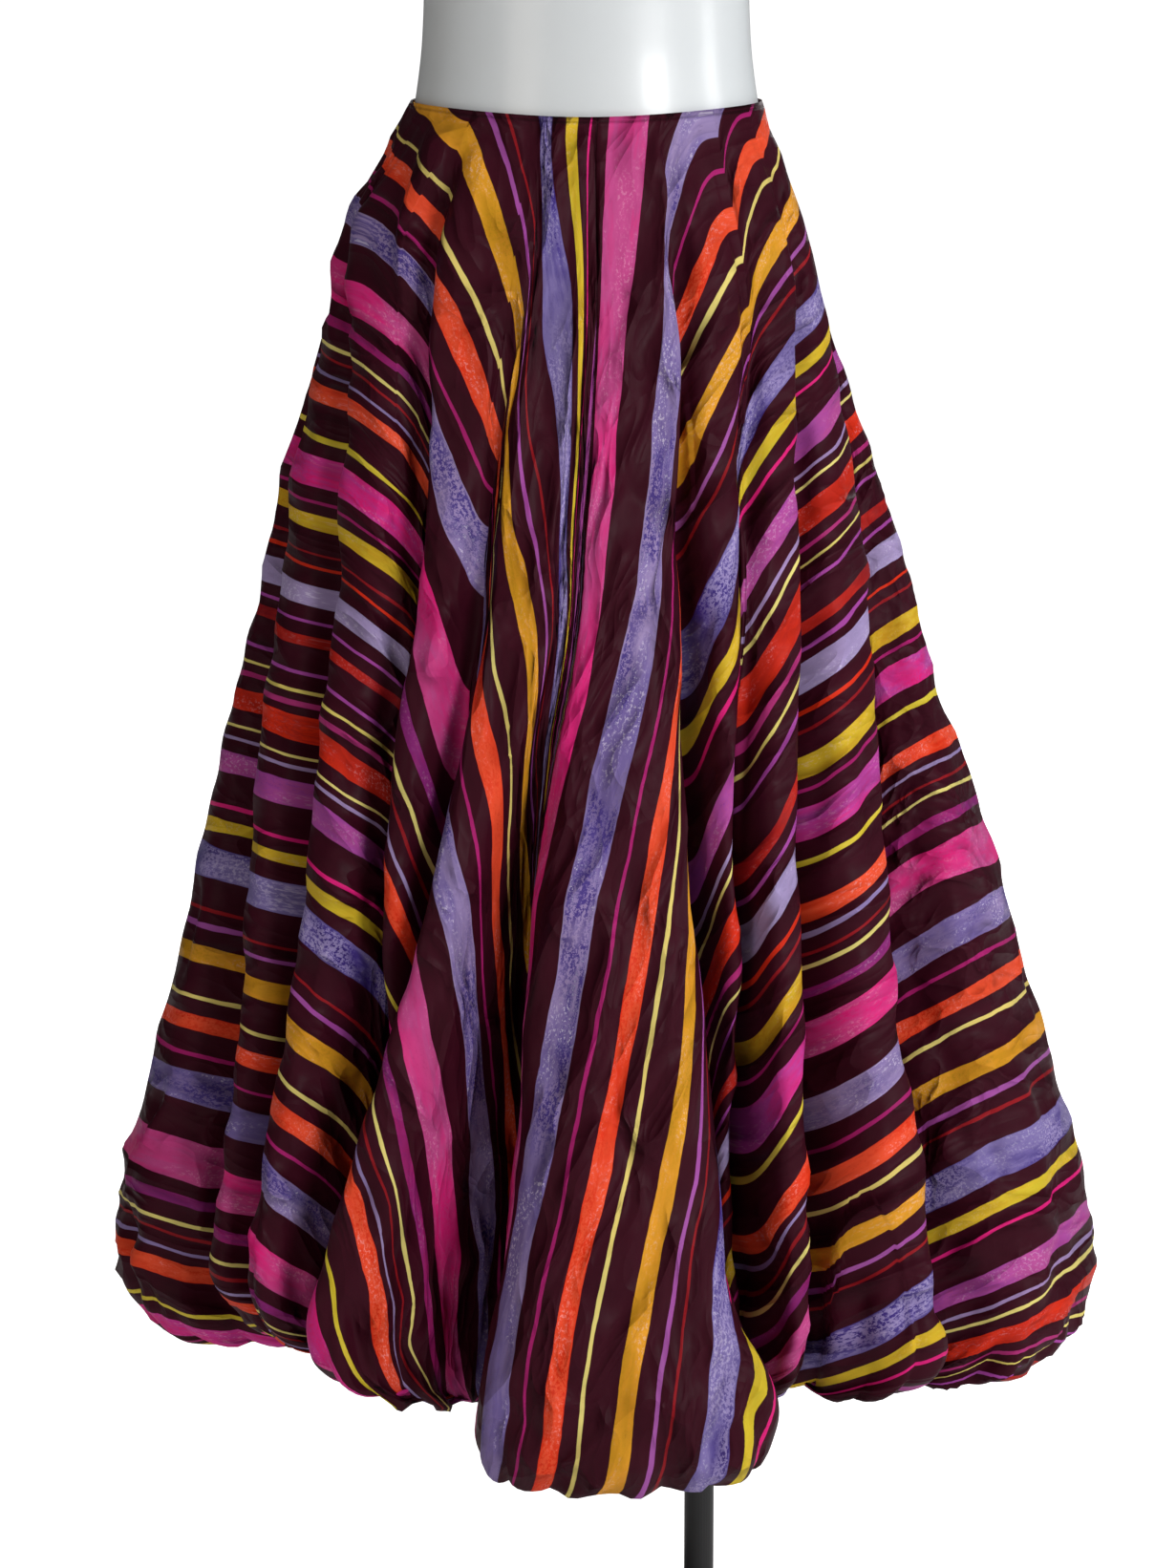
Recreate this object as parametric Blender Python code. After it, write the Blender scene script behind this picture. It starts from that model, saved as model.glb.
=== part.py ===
"""Balloon skirt on a limbless dress form, with its pole and base plate.

Metres, +Z up, front towards -Y.  The origin is the centre of the base plate's
underside, and the skirt's axis stands on it.

The skirt is a full circle cut as two half-circle panels, left and right, with
seams at centre front and centre back.  It hangs in deep flutes from the hip
down and turns under at a rounded balloon hem, and its returned edge is drawn in
by elastic in the edge's own turning.  Depths are measured down from the waist edge.
"""
import bpy
import bmesh
import math
from mathutils import Matrix, Vector

for _o in list(bpy.data.objects):
    bpy.data.objects.remove(_o, do_unlink=True)

# ---------------------------------------------------------------- sizes
WAIST_Z = 1.320            # height of the waist edge over the floor
FLAT_WAIST_R = 0.121       # radius of the waist line on the flat circle
WALL = 0.0016              # cloth wall
SEAM_GAP = 0.0004          # between the two panels along a seam
TOUCH = 0.0003             # between pieces that touch
SEAM_FRONT = 0.0           # flat angle of the front seam
SEAM_BACK = 180.0          # flat angle of the back seam
TURN_WAIST = 7.0           # the waist line sits turned by this much, degrees
WAIST_DIP = 0.006          # the waist edge is lower at the front by this much
FORM_CLEAR = 0.007         # a valley of the cloth stays this far off the form
VALLEY_MIN_R = 0.150       # and no closer to the axis than this below the form

# The body of the skirt, section by section, over the crests of the flutes.
# depth, half width, half depth at front, half depth at back, shift to +X
SECTIONS = [
    (0.000, 0.140, 0.100, 0.100, 0.000),
    (0.030, 0.154, 0.113, 0.114, -0.004),
    (0.060, 0.167, 0.124, 0.127, -0.006),
    (0.100, 0.183, 0.138, 0.144, -0.008),
    (0.150, 0.197, 0.152, 0.162, -0.008),
    (0.200, 0.211, 0.168, 0.179, -0.008),
    (0.300, 0.241, 0.200, 0.212, -0.008),
    (0.380, 0.261, 0.224, 0.236, -0.004),
    (0.460, 0.282, 0.250, 0.260, -0.003),
    (0.540, 0.305, 0.273, 0.283, 0.002),
    (0.620, 0.328, 0.295, 0.305, 0.007),
    (0.700, 0.351, 0.315, 0.325, 0.010),
    (0.785, 0.378, 0.335, 0.345, 0.012),
    (0.870, 0.401, 0.352, 0.362, 0.012),
    (0.940, 0.409, 0.365, 0.373, 0.012),
    (1.040, 0.409, 0.365, 0.373, 0.012),
]

# Levels at which the fold tables below state their columns.
FOLD_LEVELS = (0.10, 0.25, 0.40, 0.60, 0.80, 0.98)

# One row for each valley between two flutes, counted from the left of centre
# front towards +X.  flat_top and flat_hem are its angle on the flat circle,
# azimuth is its direction from the axis (0 is the front, 90 is +X), and sink
# is how far it lies inside the section, as a share, both at FOLD_LEVELS.
# name, flat_top, flat_hem, azimuths, sinks
VALLEYS = [
    ("front_seam",    -4.0,  -4.0, (4.0, 1.0, -4.0, -15.5, -20.0, -26.0), (0.00, 0.01, 0.06, 0.34, 0.46, 0.47)),
    ("front_right",   22.0,  17.0, (33.0, 27.0, 23.0, 20.0, 20.5, 29.0), (0.07, 0.14, 0.20, 0.28, 0.38, 0.42)),
    ("right_inner",   42.0,  27.0, (54.0, 44.0, 35.0, 26.5, 26.0, 31.0), (0.03, 0.08, 0.12, 0.26, 0.38, 0.43)),
    ("right_deep",    60.0,  42.0, (77.0, 61.0, 50.0, 38.5, 35.5, 38.0), (0.06, 0.17, 0.28, 0.39, 0.44, 0.45)),
    ("right_outer",   84.0,  68.0, (97.0, 88.0, 74.0, 58.0, 51.0, 52.0), (0.03, 0.09, 0.17, 0.26, 0.36, 0.42)),
    ("right_side",   105.0,  96.0, (114.0, 110.0, 105.0, 100.0, 97.0, 96.0), (0.05, 0.12, 0.20, 0.30, 0.40, 0.45)),
    ("back_1",       124.0, 120.0, (132.0, 129.0, 126.0, 124.0, 122.0, 121.0), (0.04, 0.13, 0.22, 0.32, 0.41, 0.46)),
    ("back_2",       146.0, 144.0, (152.0, 150.0, 149.0, 148.0, 147.0, 147.0), (0.05, 0.12, 0.22, 0.33, 0.42, 0.46)),
    ("back_3",       168.0, 168.0, (174.0, 173.0, 172.0, 171.0, 171.0, 170.0), (0.00, 0.05, 0.16, 0.32, 0.43, 0.47)),
    ("back_4",       194.0, 193.0, (201.0, 199.0, 197.0, 195.0, 194.0, 193.0), (0.00, 0.05, 0.17, 0.30, 0.42, 0.47)),
    ("back_5",       216.0, 217.0, (221.0, 219.0, 218.0, 217.0, 217.0, 217.0), (0.05, 0.13, 0.22, 0.33, 0.42, 0.46)),
    ("left_back",    238.0, 242.0, (239.0, 240.0, 241.0, 242.0, 242.0, 242.0), (0.04, 0.12, 0.21, 0.31, 0.40, 0.45)),
    ("left_side",    256.0, 257.0, (254.0, 257.0, 261.0, 265.0, 266.0, 266.0), (0.05, 0.12, 0.20, 0.30, 0.38, 0.44)),
    ("left_outer",   271.0, 271.0, (266.0, 270.0, 278.0, 287.0, 295.0, 296.0), (0.05, 0.10, 0.16, 0.24, 0.33, 0.40)),
    ("left_mid",     286.0, 286.0, (279.0, 294.0, 301.0, 304.5, 306.0, 306.5), (0.06, 0.12, 0.18, 0.26, 0.36, 0.42)),
    ("left_deep",    309.0, 310.0, (311.0, 318.0, 322.0, 321.0, 317.0, 316.0), (0.10, 0.18, 0.28, 0.40, 0.45, 0.46)),
    ("left_inner",   338.0, 338.0, (346.0, 340.5, 337.0, 331.0, 324.5, 321.0), (0.02, 0.07, 0.12, 0.27, 0.42, 0.46)),
]

# how much further down some valleys reach at the hem
VALLEY_DROPS = {"front_seam": 1.034, "front_right": 1.012, "right_inner": 1.012, "right_deep": 1.014,
                "right_outer": 1.026, "left_side": 1.010}
TILTS = {"centre_left": 0.040}      # how much lower a flute's bottom hangs towards its right valley
LOW_FLAT = {"centre_front": 0.85}   # a balloon whose bottom is rounder than its crest

# One row for each flute; the first lies between the first two valleys.
# reach is the crest's distance from the axis as a share of the section, at
# FOLD_LEVELS; flat is how flat the crest is; k_left and k_right how steep its
# two walls are; lean is how far its crest leans towards +X at the hem,
# degrees; drop is the depth of the bottom of its balloon; cells is the number
# of mesh cells across it.
# name, reach, flat, k_left, k_right, lean, drop, cells
FLUTES = [
    ("centre_front", (1.00, 1.00, 1.00, 1.01, 1.02, 1.02), 1.8, 0.25, 0.27, 2.0, 1.053, 12),
    ("right_tuck",   (1.00, 0.99, 0.98, 0.92, 0.72, 0.585), 1.1, 0.08, 0.10, 0.0, 1.012, 5),
    ("right_1",      (0.99, 0.98, 0.98, 0.97, 0.92, 0.80), 1.6, 0.10, 0.10, -3.0, 1.012, 7),
    ("right_2",      (1.00, 0.98, 0.97, 0.97, 0.97, 0.96), 1.3, 0.18, 0.18, -1.0, 1.009, 7),
    ("right_3",      (1.00, 1.01, 1.01, 1.02, 1.01, 1.01), 2.0, 0.16, 0.17, 0.0, 1.022, 9),
    ("right_4",      (1.00, 1.00, 0.99, 1.00, 1.00, 1.00), 1.3, 0.17, 0.18, 1.0, 0.995, 7),
    ("back_a",       (0.99, 1.00, 1.01, 1.00, 1.01, 1.01), 1.3, 0.18, 0.18, -1.0, 1.000, 7),
    ("back_b",       (1.00, 0.99, 0.99, 1.00, 0.99, 0.99), 1.2, 0.18, 0.18, 1.5, 1.005, 7),
    ("back_c",       (1.00, 1.00, 1.01, 1.01, 1.02, 1.02), 1.3, 0.18, 0.17, 0.0, 1.015, 8),
    ("back_d",       (1.00, 0.99, 0.99, 0.99, 1.00, 1.00), 1.2, 0.18, 0.18, -1.5, 1.000, 7),
    ("back_e",       (0.99, 1.00, 1.01, 1.01, 1.00, 0.99), 1.3, 0.18, 0.18, 1.0, 1.002, 7),
    ("left_4",       (1.00, 1.00, 1.00, 0.99, 1.00, 1.01), 1.3, 0.18, 0.17, 0.0, 1.014, 7),
    ("left_3",       (1.00, 1.00, 0.99, 1.00, 1.00, 0.99), 1.6, 0.17, 0.17, 2.5, 1.003, 8),
    ("left_2",       (0.99, 0.98, 0.97, 0.96, 0.94, 0.92), 1.1, 0.16, 0.14, 2.5, 0.975, 6),
    ("left_1",       (1.00, 0.99, 0.98, 0.98, 0.98, 0.97), 1.3, 0.18, 0.13, 2.5, 0.969, 7),
    ("left_tuck",    (1.00, 1.00, 1.00, 0.95, 0.70, 0.56), 1.2, 0.08, 0.10, 0.0, 0.990, 6),
    ("centre_left",  (0.99, 0.99, 0.99, 0.99, 1.00, 1.02), 1.3, 0.14, 0.17, -4.0, 0.980, 7),
]

# Rows of the cloth from the waist edge to the returned edge.
# level is the depth over a balloon of depth 1, share is the crest's reach
# there as a share of the section, valley_level the depth of the valleys, and
# inside is the share of RETURN_OFF that the row has moved in by.
ROWS = [
    (0.000, 1.000, 0.000, 0.0), (0.040, 1.000, 0.040, 0.0), (0.090, 1.000, 0.090, 0.0),
    (0.150, 1.000, 0.151, 0.0), (0.220, 1.000, 0.222, 0.0), (0.310, 1.000, 0.314, 0.0),
    (0.410, 1.000, 0.416, 0.0), (0.520, 1.000, 0.529, 0.0), (0.630, 1.000, 0.642, 0.0),
    (0.740, 1.000, 0.755, 0.0), (0.840, 1.000, 0.858, 0.0), (0.920, 1.000, 0.936, 0.0),
    (0.970, 0.970, 0.976, 0.0), (0.998, 0.890, 0.998, 0.22),
    (0.996, 0.790, 0.997, 0.78), (0.975, 0.715, 0.977, 1.0), (0.958, 0.700, 0.960, 1.0),
]
ROUNDING = 0.085            # how round the bottoms of the valleys are
GATHER_WIDE = 15.0         # flutes narrower than this, in degrees, are gathered flatter there
RETURN_OFF = 0.0074        # the return lies this far inside the cloth that it lines

# The dress form, level by level over the waist edge of the skirt.
# height, half width, half depth at front, half depth at back
FORM = [
    (-0.372, 0.128, 0.080, 0.088),
    (-0.367, 0.140, 0.090, 0.098),
    (-0.350, 0.154, 0.099, 0.110),
    (-0.300, 0.166, 0.106, 0.122),
    (-0.200, 0.171, 0.108, 0.124),
    (-0.120, 0.163, 0.105, 0.115),
    (-0.050, 0.147, 0.099, 0.102),
    (0.000, 0.1365, 0.0955, 0.0955),
    (0.050, 0.1305, 0.0920, 0.0900),
    (0.090, 0.1290, 0.0910, 0.0890),
    (0.140, 0.1310, 0.0940, 0.0910),
    (0.200, 0.1380, 0.1010, 0.0960),
    (0.270, 0.1460, 0.1110, 0.1010),
    (0.330, 0.1520, 0.1150, 0.1040),
    (0.390, 0.1580, 0.1060, 0.1050),
    (0.435, 0.1660, 0.0940, 0.1010),
    (0.465, 0.1640, 0.0850, 0.0930),
    (0.490, 0.1480, 0.0760, 0.0830),
    (0.508, 0.1200, 0.0690, 0.0740),
    (0.522, 0.0880, 0.0630, 0.0660),
    (0.540, 0.0660, 0.0570, 0.0600),
    (0.570, 0.0560, 0.0530, 0.0560),
    (0.605, 0.0530, 0.0510, 0.0540),
    (0.615, 0.0500, 0.0480, 0.0510),
    (0.619, 0.0420, 0.0400, 0.0430),
]
FORM_CELLS = 40

POLE_X = 0.0955            # the pole stands this far to +X of the skirt's axis
POLE_R = 0.0125
SOCKET_R = 0.0180
SOCKET_DEEP = 0.060
FLANGE_R = 0.0330
FLANGE_THICK = 0.004
BASE_R = 0.175
BASE_THICK = 0.012
COLLAR_R = 0.0210
COLLAR_HIGH = 0.032

# Zip at the back seam: slider and its hinged pull tab
SLIDER_W, SLIDER_L, SLIDER_T = 0.0062, 0.0085, 0.0014
SLIDER_DEPTH = 0.0120      # depth of the slider's middle below the waist edge
PIN_R, PIN_OVER = 0.00055, 0.0033
TAB_W, TAB_L, TAB_T = 0.0052, 0.0175, 0.0011
EYE_R, EYE_BORE, EYE_W = 0.00150, 0.00090, 0.0026
LUG_W = 0.0009


# ---------------------------------------------------------------- helpers
def smooth(xs, ys, x):
    """Monotone cubic through (xs, ys), held flat past the ends."""
    n = len(xs)
    if x <= xs[0]:
        return ys[0]
    if x >= xs[-1]:
        return ys[-1]
    k = 0
    while x > xs[k + 1]:
        k += 1

    def slope(i):
        if i == 0 or i == n - 1:
            return 0.0 if n > 2 else (ys[1] - ys[0]) / (xs[1] - xs[0])
        d0 = (ys[i] - ys[i - 1]) / (xs[i] - xs[i - 1])
        d1 = (ys[i + 1] - ys[i]) / (xs[i + 1] - xs[i])
        if d0 * d1 <= 0:
            return 0.0
        return 2.0 * d0 * d1 / (d0 + d1)

    h = xs[k + 1] - xs[k]
    t = (x - xs[k]) / h
    m0, m1 = slope(k) * h, slope(k + 1) * h
    if k == 0 and n > 2:
        m0 = (ys[1] - ys[0])
    if k == n - 2 and n > 2:
        m1 = (ys[-1] - ys[-2])
    t2, t3 = t * t, t * t * t
    return ((2 * t3 - 3 * t2 + 1) * ys[k] + (t3 - 2 * t2 + t) * m0
            + (-2 * t3 + 3 * t2) * ys[k + 1] + (t3 - t2) * m1)


def ease(a, b, x):
    t = min(1.0, max(0.0, (x - a) / (b - a)))
    return t * t * (3 - 2 * t)


SEC_D = [r[0] for r in SECTIONS]


def section(depth):
    return tuple(smooth(SEC_D, [r[k] for r in SECTIONS], depth) for k in (1, 2, 3, 4))


def oval(az, half_w, half_f, half_b):
    s, c = math.sin(math.radians(az)), math.cos(math.radians(az))
    half_d = half_f if c > 0 else half_b
    return 1.0 / math.sqrt((s / half_w) ** 2 + (c / half_d) ** 2)


def form_radius(az, depth):
    """Radius of the dress form below the waist, or 0 under its end."""
    rows = [r for r in FORM if r[0] <= 0.0501]
    if -depth < rows[0][0] - 0.02:
        return 0.0
    hs = [r[0] for r in rows]
    half = [smooth(hs, [r[k] for r in rows], -depth) for k in (1, 2, 3)]
    return oval(az, *half)


def waist_table():
    """Arc length round the waist oval against azimuth."""
    a, f, b, _ = section(0.0)
    pts, run, last = [], 0.0, None
    for i in range(0, 721):
        az = -180.0 + i * 0.5
        r = oval(az, a, f, b)
        p = (r * math.sin(math.radians(az)), -r * math.cos(math.radians(az)))
        if last is not None:
            run += math.dist(p, last)
        pts.append((az, run))
        last = p
    return pts


WAIST_ARC = waist_table()


def waist_azimuth(flat):
    """Azimuth on the waist oval of a flat angle."""
    turns = math.floor((flat + 180.0) / 360.0)
    want = (flat - 360.0 * turns + 180.0) / 360.0 * WAIST_ARC[-1][1]
    lo, hi = 0, len(WAIST_ARC) - 1
    while hi - lo > 1:
        mid = (lo + hi) // 2
        if WAIST_ARC[mid][1] <= want:
            lo = mid
        else:
            hi = mid
    (a0, s0), (a1, s1) = WAIST_ARC[lo], WAIST_ARC[hi]
    return a0 + (a1 - a0) * (want - s0) / (s1 - s0) + 360.0 * turns + TURN_WAIST


NV = len(VALLEYS)


def valley(j, depth):
    """Azimuth, flat angle, sink and drop of valley j; j past the end goes on round."""
    turn, k = divmod(j, NV)
    name, flat_top, flat_hem, azs, sinks = VALLEYS[k]
    xs = (0.0,) + FOLD_LEVELS
    az = smooth(xs, (waist_azimuth(flat_top),) + azs, depth)
    flat = flat_top + (flat_hem - flat_top) * ease(0.15, 0.85, depth)
    sink = smooth(xs, (0.0,) + sinks, depth)
    drop = 1.0 + (VALLEY_DROPS.get(name, 1.0) - 1.0) * ease(0.3, 1.0, depth)
    return az + 360.0 * turn, flat + 360.0 * turn, sink, drop


def flute_at(i, row):
    """Everything that a row of cloth needs for flute i."""
    level, share, valley_level, inside = row
    name, reach, flatness, k_left, k_right, lean, drop, cells = FLUTES[i % NV]
    crest_depth = level * (1.0 + (drop - 1.0) * ease(0.3, 1.0, level))
    az0, fl0, sink0, low0 = valley(i, level)
    az1, fl1, sink1, low1 = valley(i + 1, level)
    xs = (0.0,) + FOLD_LEVELS
    r = smooth(xs, (1.0,) + reach, level)
    return {"az0": az0, "az1": az1, "fl0": fl0, "fl1": fl1, "sink0": sink0, "sink1": sink1,
            "reach": r, "share": share, "flat": flatness,
            "gather": inside * max(0.0, 1.0 - ((az1 - az0) / GATHER_WIDE) ** 2),
            "kl": k_left, "kr": k_right,
            "lean": lean * ease(0.35, 0.9, level), "crest_depth": crest_depth,
            "low_flat": LOW_FLAT.get(name, flatness),
            "tilt": TILTS.get(name, 0.0) * ease(0.3, 1.0, level),
            "valley_depth": (valley_level * low0, valley_level * low1), "level": level}


def flute_point(f, w):
    """Point of the outer face at w, from -1 in the left valley to 1 in the right."""
    k = f["kl"] if w < 0 else f["kr"]
    h = w + k * math.sin(math.pi * w) + ROUNDING * math.sin(2.0 * math.pi * w)
    g = 1.0 - (math.sin(math.pi * w / 2.0) ** 2) ** f["flat"]
    low_g = 1.0 - (math.sin(math.pi * w / 2.0) ** 2) ** f["low_flat"]
    az = f["az0"] + (f["az1"] - f["az0"]) * (h + 1.0) / 2.0
    low0, low1 = f["valley_depth"]
    bottom = low0 + (low1 - low0) * (w + 1.0) / 2.0
    depth = bottom + (f["crest_depth"] + f["tilt"] * max(0.0, w) - bottom) * low_g
    half_w, half_f, half_b, shift = section(f["level"])
    t = (w + 1.0) / 2.0
    sink = f["sink0"] + (f["sink1"] - f["sink0"]) * t
    body = oval(az, half_w, half_f, half_b)
    low = max(body * (1.0 - sink), VALLEY_MIN_R * ease(0.2, 0.5, f["level"]))
    full = max(body * f["reach"], low)
    high = max(body * f["reach"] * f["share"], low)
    high -= (high - low) * f["gather"]
    az += f["lean"] * g * (high - low) / max(0.001, full - low)
    if f["level"] < 0.40:
        low = max(low, min(form_radius(az, depth) + FORM_CLEAR, high))
    r = low + (high - low) * g
    s, c = math.sin(math.radians(az)), math.cos(math.radians(az))
    dip = WAIST_DIP * max(0.0, c) ** 2 * (1.0 - ease(0.0, 0.25, depth))
    return Vector((shift + r * s, -r * c, WAIST_Z - depth - dip))


def seam_w(i, flat, f):
    """Place across flute i where a seam's flat angle lies."""
    return 2.0 * (flat - f["fl0"]) / (f["fl1"] - f["fl0"]) - 1.0


def places(i, cells):
    """Places across flute i for its mesh lines, closer where it bends more."""
    f = flute_at(i, (0.80, 1.0, 0.80, 0.0))
    n = 120
    pts = [flute_point(f, -1.0 + 2.0 * k / n) for k in range(n + 1)]
    run, turn = [0.0], [0.0]
    for k in range(1, n + 1):
        run.append(run[-1] + (pts[k] - pts[k - 1]).length)
        bend = 0.0
        if k < n:
            bend = (pts[k] - pts[k - 1]).angle(pts[k + 1] - pts[k])
        turn.append(turn[-1] + bend)
    load = [0.45 * r / run[-1] + 0.55 * t / turn[-1] for r, t in zip(run, turn)]
    out = []
    for q in range(cells + 1):
        want = q / cells
        k = 0
        while k < n - 1 and load[k + 1] < want:
            k += 1
        part = (want - load[k]) / max(1e-9, load[k + 1] - load[k])
        out.append(-1.0 + 2.0 * (k + min(1.0, max(0.0, part))) / n)
    out[0], out[-1] = -1.0, 1.0
    return out


def columns(start, end):
    """The panel's mesh lines as (flute, place), with None at its two seams."""
    lines = []
    for i in range(-1, 2 * NV):
        f = flute_at(i, ROWS[-1])
        if f["fl1"] <= start + 1e-9 or f["fl0"] >= end - 1e-9:
            continue
        lo, hi = seam_w(i, start, f), seam_w(i, end, f)
        for w in places(i, FLUTES[i % NV][7]):
            if w >= 1.0:
                continue
            if w < lo + 0.12 or w > hi - 0.12:
                continue
            lines.append((i, w))
        if lo > -1.0:
            lines.insert(0, (i, "start"))
        if hi < 1.0:
            lines.append((i, "end"))
    return lines


def panel_grid(start, end, rows, nudge):
    """Points of one panel's outer face, row by row, waist to returned edge."""
    grid = []
    lines = columns(start, end)
    for row in rows:
        pts = []
        for i, place in lines:
            f = flute_at(i, row)
            if place in ("start", "end"):
                w = seam_w(i, start if place == "start" else end, f)
                step = (flute_point(f, w + 0.01) - flute_point(f, w - 0.01)).length / 0.02
                w += (nudge if place == "start" else -nudge) / step
            else:
                w = place
            pts.append(flute_point(f, w))
        grid.append(pts)
    return grid


def move_return_in(grid, before, after, rows, flutes):
    """Set the rows of the return in from the last row of the cloth that it lines."""
    last = max(k for k, row in enumerate(rows) if row[3] == 0.0)
    line = [before[last]] + grid[last] + [after[last]]
    shift = []
    for c in range(1, len(line) - 1):
        f = flute_at(flutes[c - 1], rows[-1])
        own = min(1.0, max(0.45, (f["az1"] - f["az0"] - 4.0) / 8.0))
        d1, d2 = line[c] - line[c - 1], line[c + 1] - line[c]
        n1 = Vector((d1.y, -d1.x, 0.0)).normalized()
        n2 = Vector((d2.y, -d2.x, 0.0)).normalized()
        n = (n1 + n2).normalized()
        out = Vector((line[c].x, line[c].y, 0.0)).normalized()
        shift.append((n * own + out * (1.0 - own)) / max(0.60, n.dot(n1)))
    for k in range(last + 1, len(rows)):
        for c in range(len(grid[k])):
            grid[k][c] = grid[k][c] - shift[c] * (RETURN_OFF * rows[k][3])


def wall_normals(grid, before, after):
    """Outward normals that halve each corner, long enough to keep the wall's thickness."""
    nr, out = len(grid), []
    for k in range(nr):
        nor = []
        for c in range(len(grid[k])):
            here = grid[k][c]
            west = grid[k][c - 1] if c > 0 else before[k]
            east = grid[k][c + 1] if c < len(grid[k]) - 1 else after[k]
            ways = []
            if k > 0:
                ways.append(grid[k - 1][c] - here)
            if k < nr - 1:
                ways.append(here - grid[k + 1][c])
            faces = [side.cross(way).normalized() for way in ways for side in (here - west, east - here)]
            n = Vector((0.0, 0.0, 0.0))
            for face in faces:
                n += face
            n.normalize()
            nor.append(n / max(0.60, min(n.dot(face) for face in faces)))
        out.append(nor)
    return out


def wall_object(name, grid, normals, thickness, colour):
    """Closed wall between the outer grid and the same grid moved in."""
    bm = bmesh.new()
    nr, nc = len(grid), len(grid[0])
    outer = [[bm.verts.new(grid[r][c]) for c in range(nc)] for r in range(nr)]
    inner = [[bm.verts.new(grid[r][c] - normals[r][c] * thickness) for c in range(nc)] for r in range(nr)]

    def quad(a, b, c, d):
        bm.faces.new((a, b, c))
        bm.faces.new((a, c, d))

    for r in range(nr - 1):
        for c in range(nc - 1):
            quad(outer[r][c], outer[r + 1][c], outer[r + 1][c + 1], outer[r][c + 1])
            bm.faces.new((inner[r][c], inner[r + 1][c + 1], inner[r + 1][c]))
            bm.faces.new((inner[r][c], inner[r][c + 1], inner[r + 1][c + 1]))
    for c in range(nc - 1):
        quad(outer[0][c], outer[0][c + 1], inner[0][c + 1], inner[0][c])
        quad(outer[-1][c + 1], outer[-1][c], inner[-1][c], inner[-1][c + 1])
    for r in range(nr - 1):
        quad(outer[r][0], inner[r][0], inner[r + 1][0], outer[r + 1][0])
        quad(outer[r][-1], outer[r + 1][-1], inner[r + 1][-1], inner[r][-1])
    bmesh.ops.recalc_face_normals(bm, faces=bm.faces[:])
    return finish(name, bm, colour, smooth_angle=None)


MATERIALS = {
    "skirt_fabric": ((0.072, 0.022, 0.032), 0.55, 0.0),
    "form_white": ((0.80, 0.81, 0.83), 0.22, 0.0),
    "pole_black": ((0.012, 0.012, 0.013), 0.35, 0.0),
    "fitting_steel": ((0.45, 0.45, 0.46), 0.32, 1.0),
    "zip_metal": ((0.10, 0.05, 0.06), 0.35, 0.6),
}


def material(name, slot):
    colour, rough, metal = MATERIALS[slot]
    m = bpy.data.materials.new(name)
    m.use_nodes = True
    b = m.node_tree.nodes["Principled BSDF"]
    b.inputs["Base Color"].default_value = (*colour, 1.0)
    b.inputs["Roughness"].default_value = rough
    b.inputs["Metallic"].default_value = metal
    m.diffuse_color = (*colour, 1.0)
    return m


def finish(name, bm, slot, smooth_angle=35.0):
    mesh = bpy.data.meshes.new(name)
    bm.to_mesh(mesh)
    bm.free()
    mesh.materials.append(material(name, slot))
    if smooth_angle is not None:
        mesh.shade_smooth()
        mesh.set_sharp_from_angle(angle=math.radians(smooth_angle))
    ob = bpy.data.objects.new(name, mesh)
    bpy.context.scene.collection.objects.link(ob)
    return ob


def turned(name, profile, slot, cells=32, at=(0.0, 0.0), bored=False):
    """Solid of revolution from (radius, z) points: bored through, or closed by flat ends."""
    bm = bmesh.new()
    rings = [[bm.verts.new((at[0] + r * math.cos(2 * math.pi * k / cells),
                            at[1] + r * math.sin(2 * math.pi * k / cells), z))
              for k in range(cells)] for r, z in profile]
    n = len(rings)
    for k in range(n if bored else n - 1):
        a, b = rings[k], rings[(k + 1) % n]
        for q in range(cells):
            q2 = (q + 1) % cells
            bm.faces.new((a[q], b[q], b[q2], a[q2]))
    if not bored:
        bm.faces.new(rings[0])
        bm.faces.new(rings[-1])
    bmesh.ops.recalc_face_normals(bm, faces=bm.faces[:])
    return finish(name, bm, slot)


# ---------------------------------------------------------------- the panels
right_grid = panel_grid(SEAM_FRONT, SEAM_BACK, ROWS, SEAM_GAP / 2)
left_grid = panel_grid(SEAM_BACK, SEAM_FRONT + 360.0, ROWS, SEAM_GAP / 2)


def edge(grid, column):
    return [row[column] for row in grid]


for _pass in (0, 1):
    around_right = (edge(left_grid, -2), edge(right_grid, 0), edge(right_grid, -1), edge(left_grid, 1))
    around_left = (edge(right_grid, -2), edge(left_grid, 0), edge(left_grid, -1), edge(right_grid, 1))
    if _pass == 0:
        beyond = [list(around_right), list(around_left)]
        move_return_in(right_grid, beyond[0][0], beyond[0][3], ROWS, [i for i, _ in columns(SEAM_FRONT, SEAM_BACK)])
        move_return_in(left_grid, beyond[1][0], beyond[1][3], ROWS, [i for i, _ in columns(SEAM_BACK, SEAM_FRONT + 360.0)])
right_nor = wall_normals(right_grid, around_right[0], around_right[3])
left_nor = wall_normals(left_grid, around_left[0], around_left[3])
wall_object("skirt_panel_right", right_grid, right_nor, WALL, "skirt_fabric")
wall_object("skirt_panel_left", left_grid, left_nor, WALL, "skirt_fabric")


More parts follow.
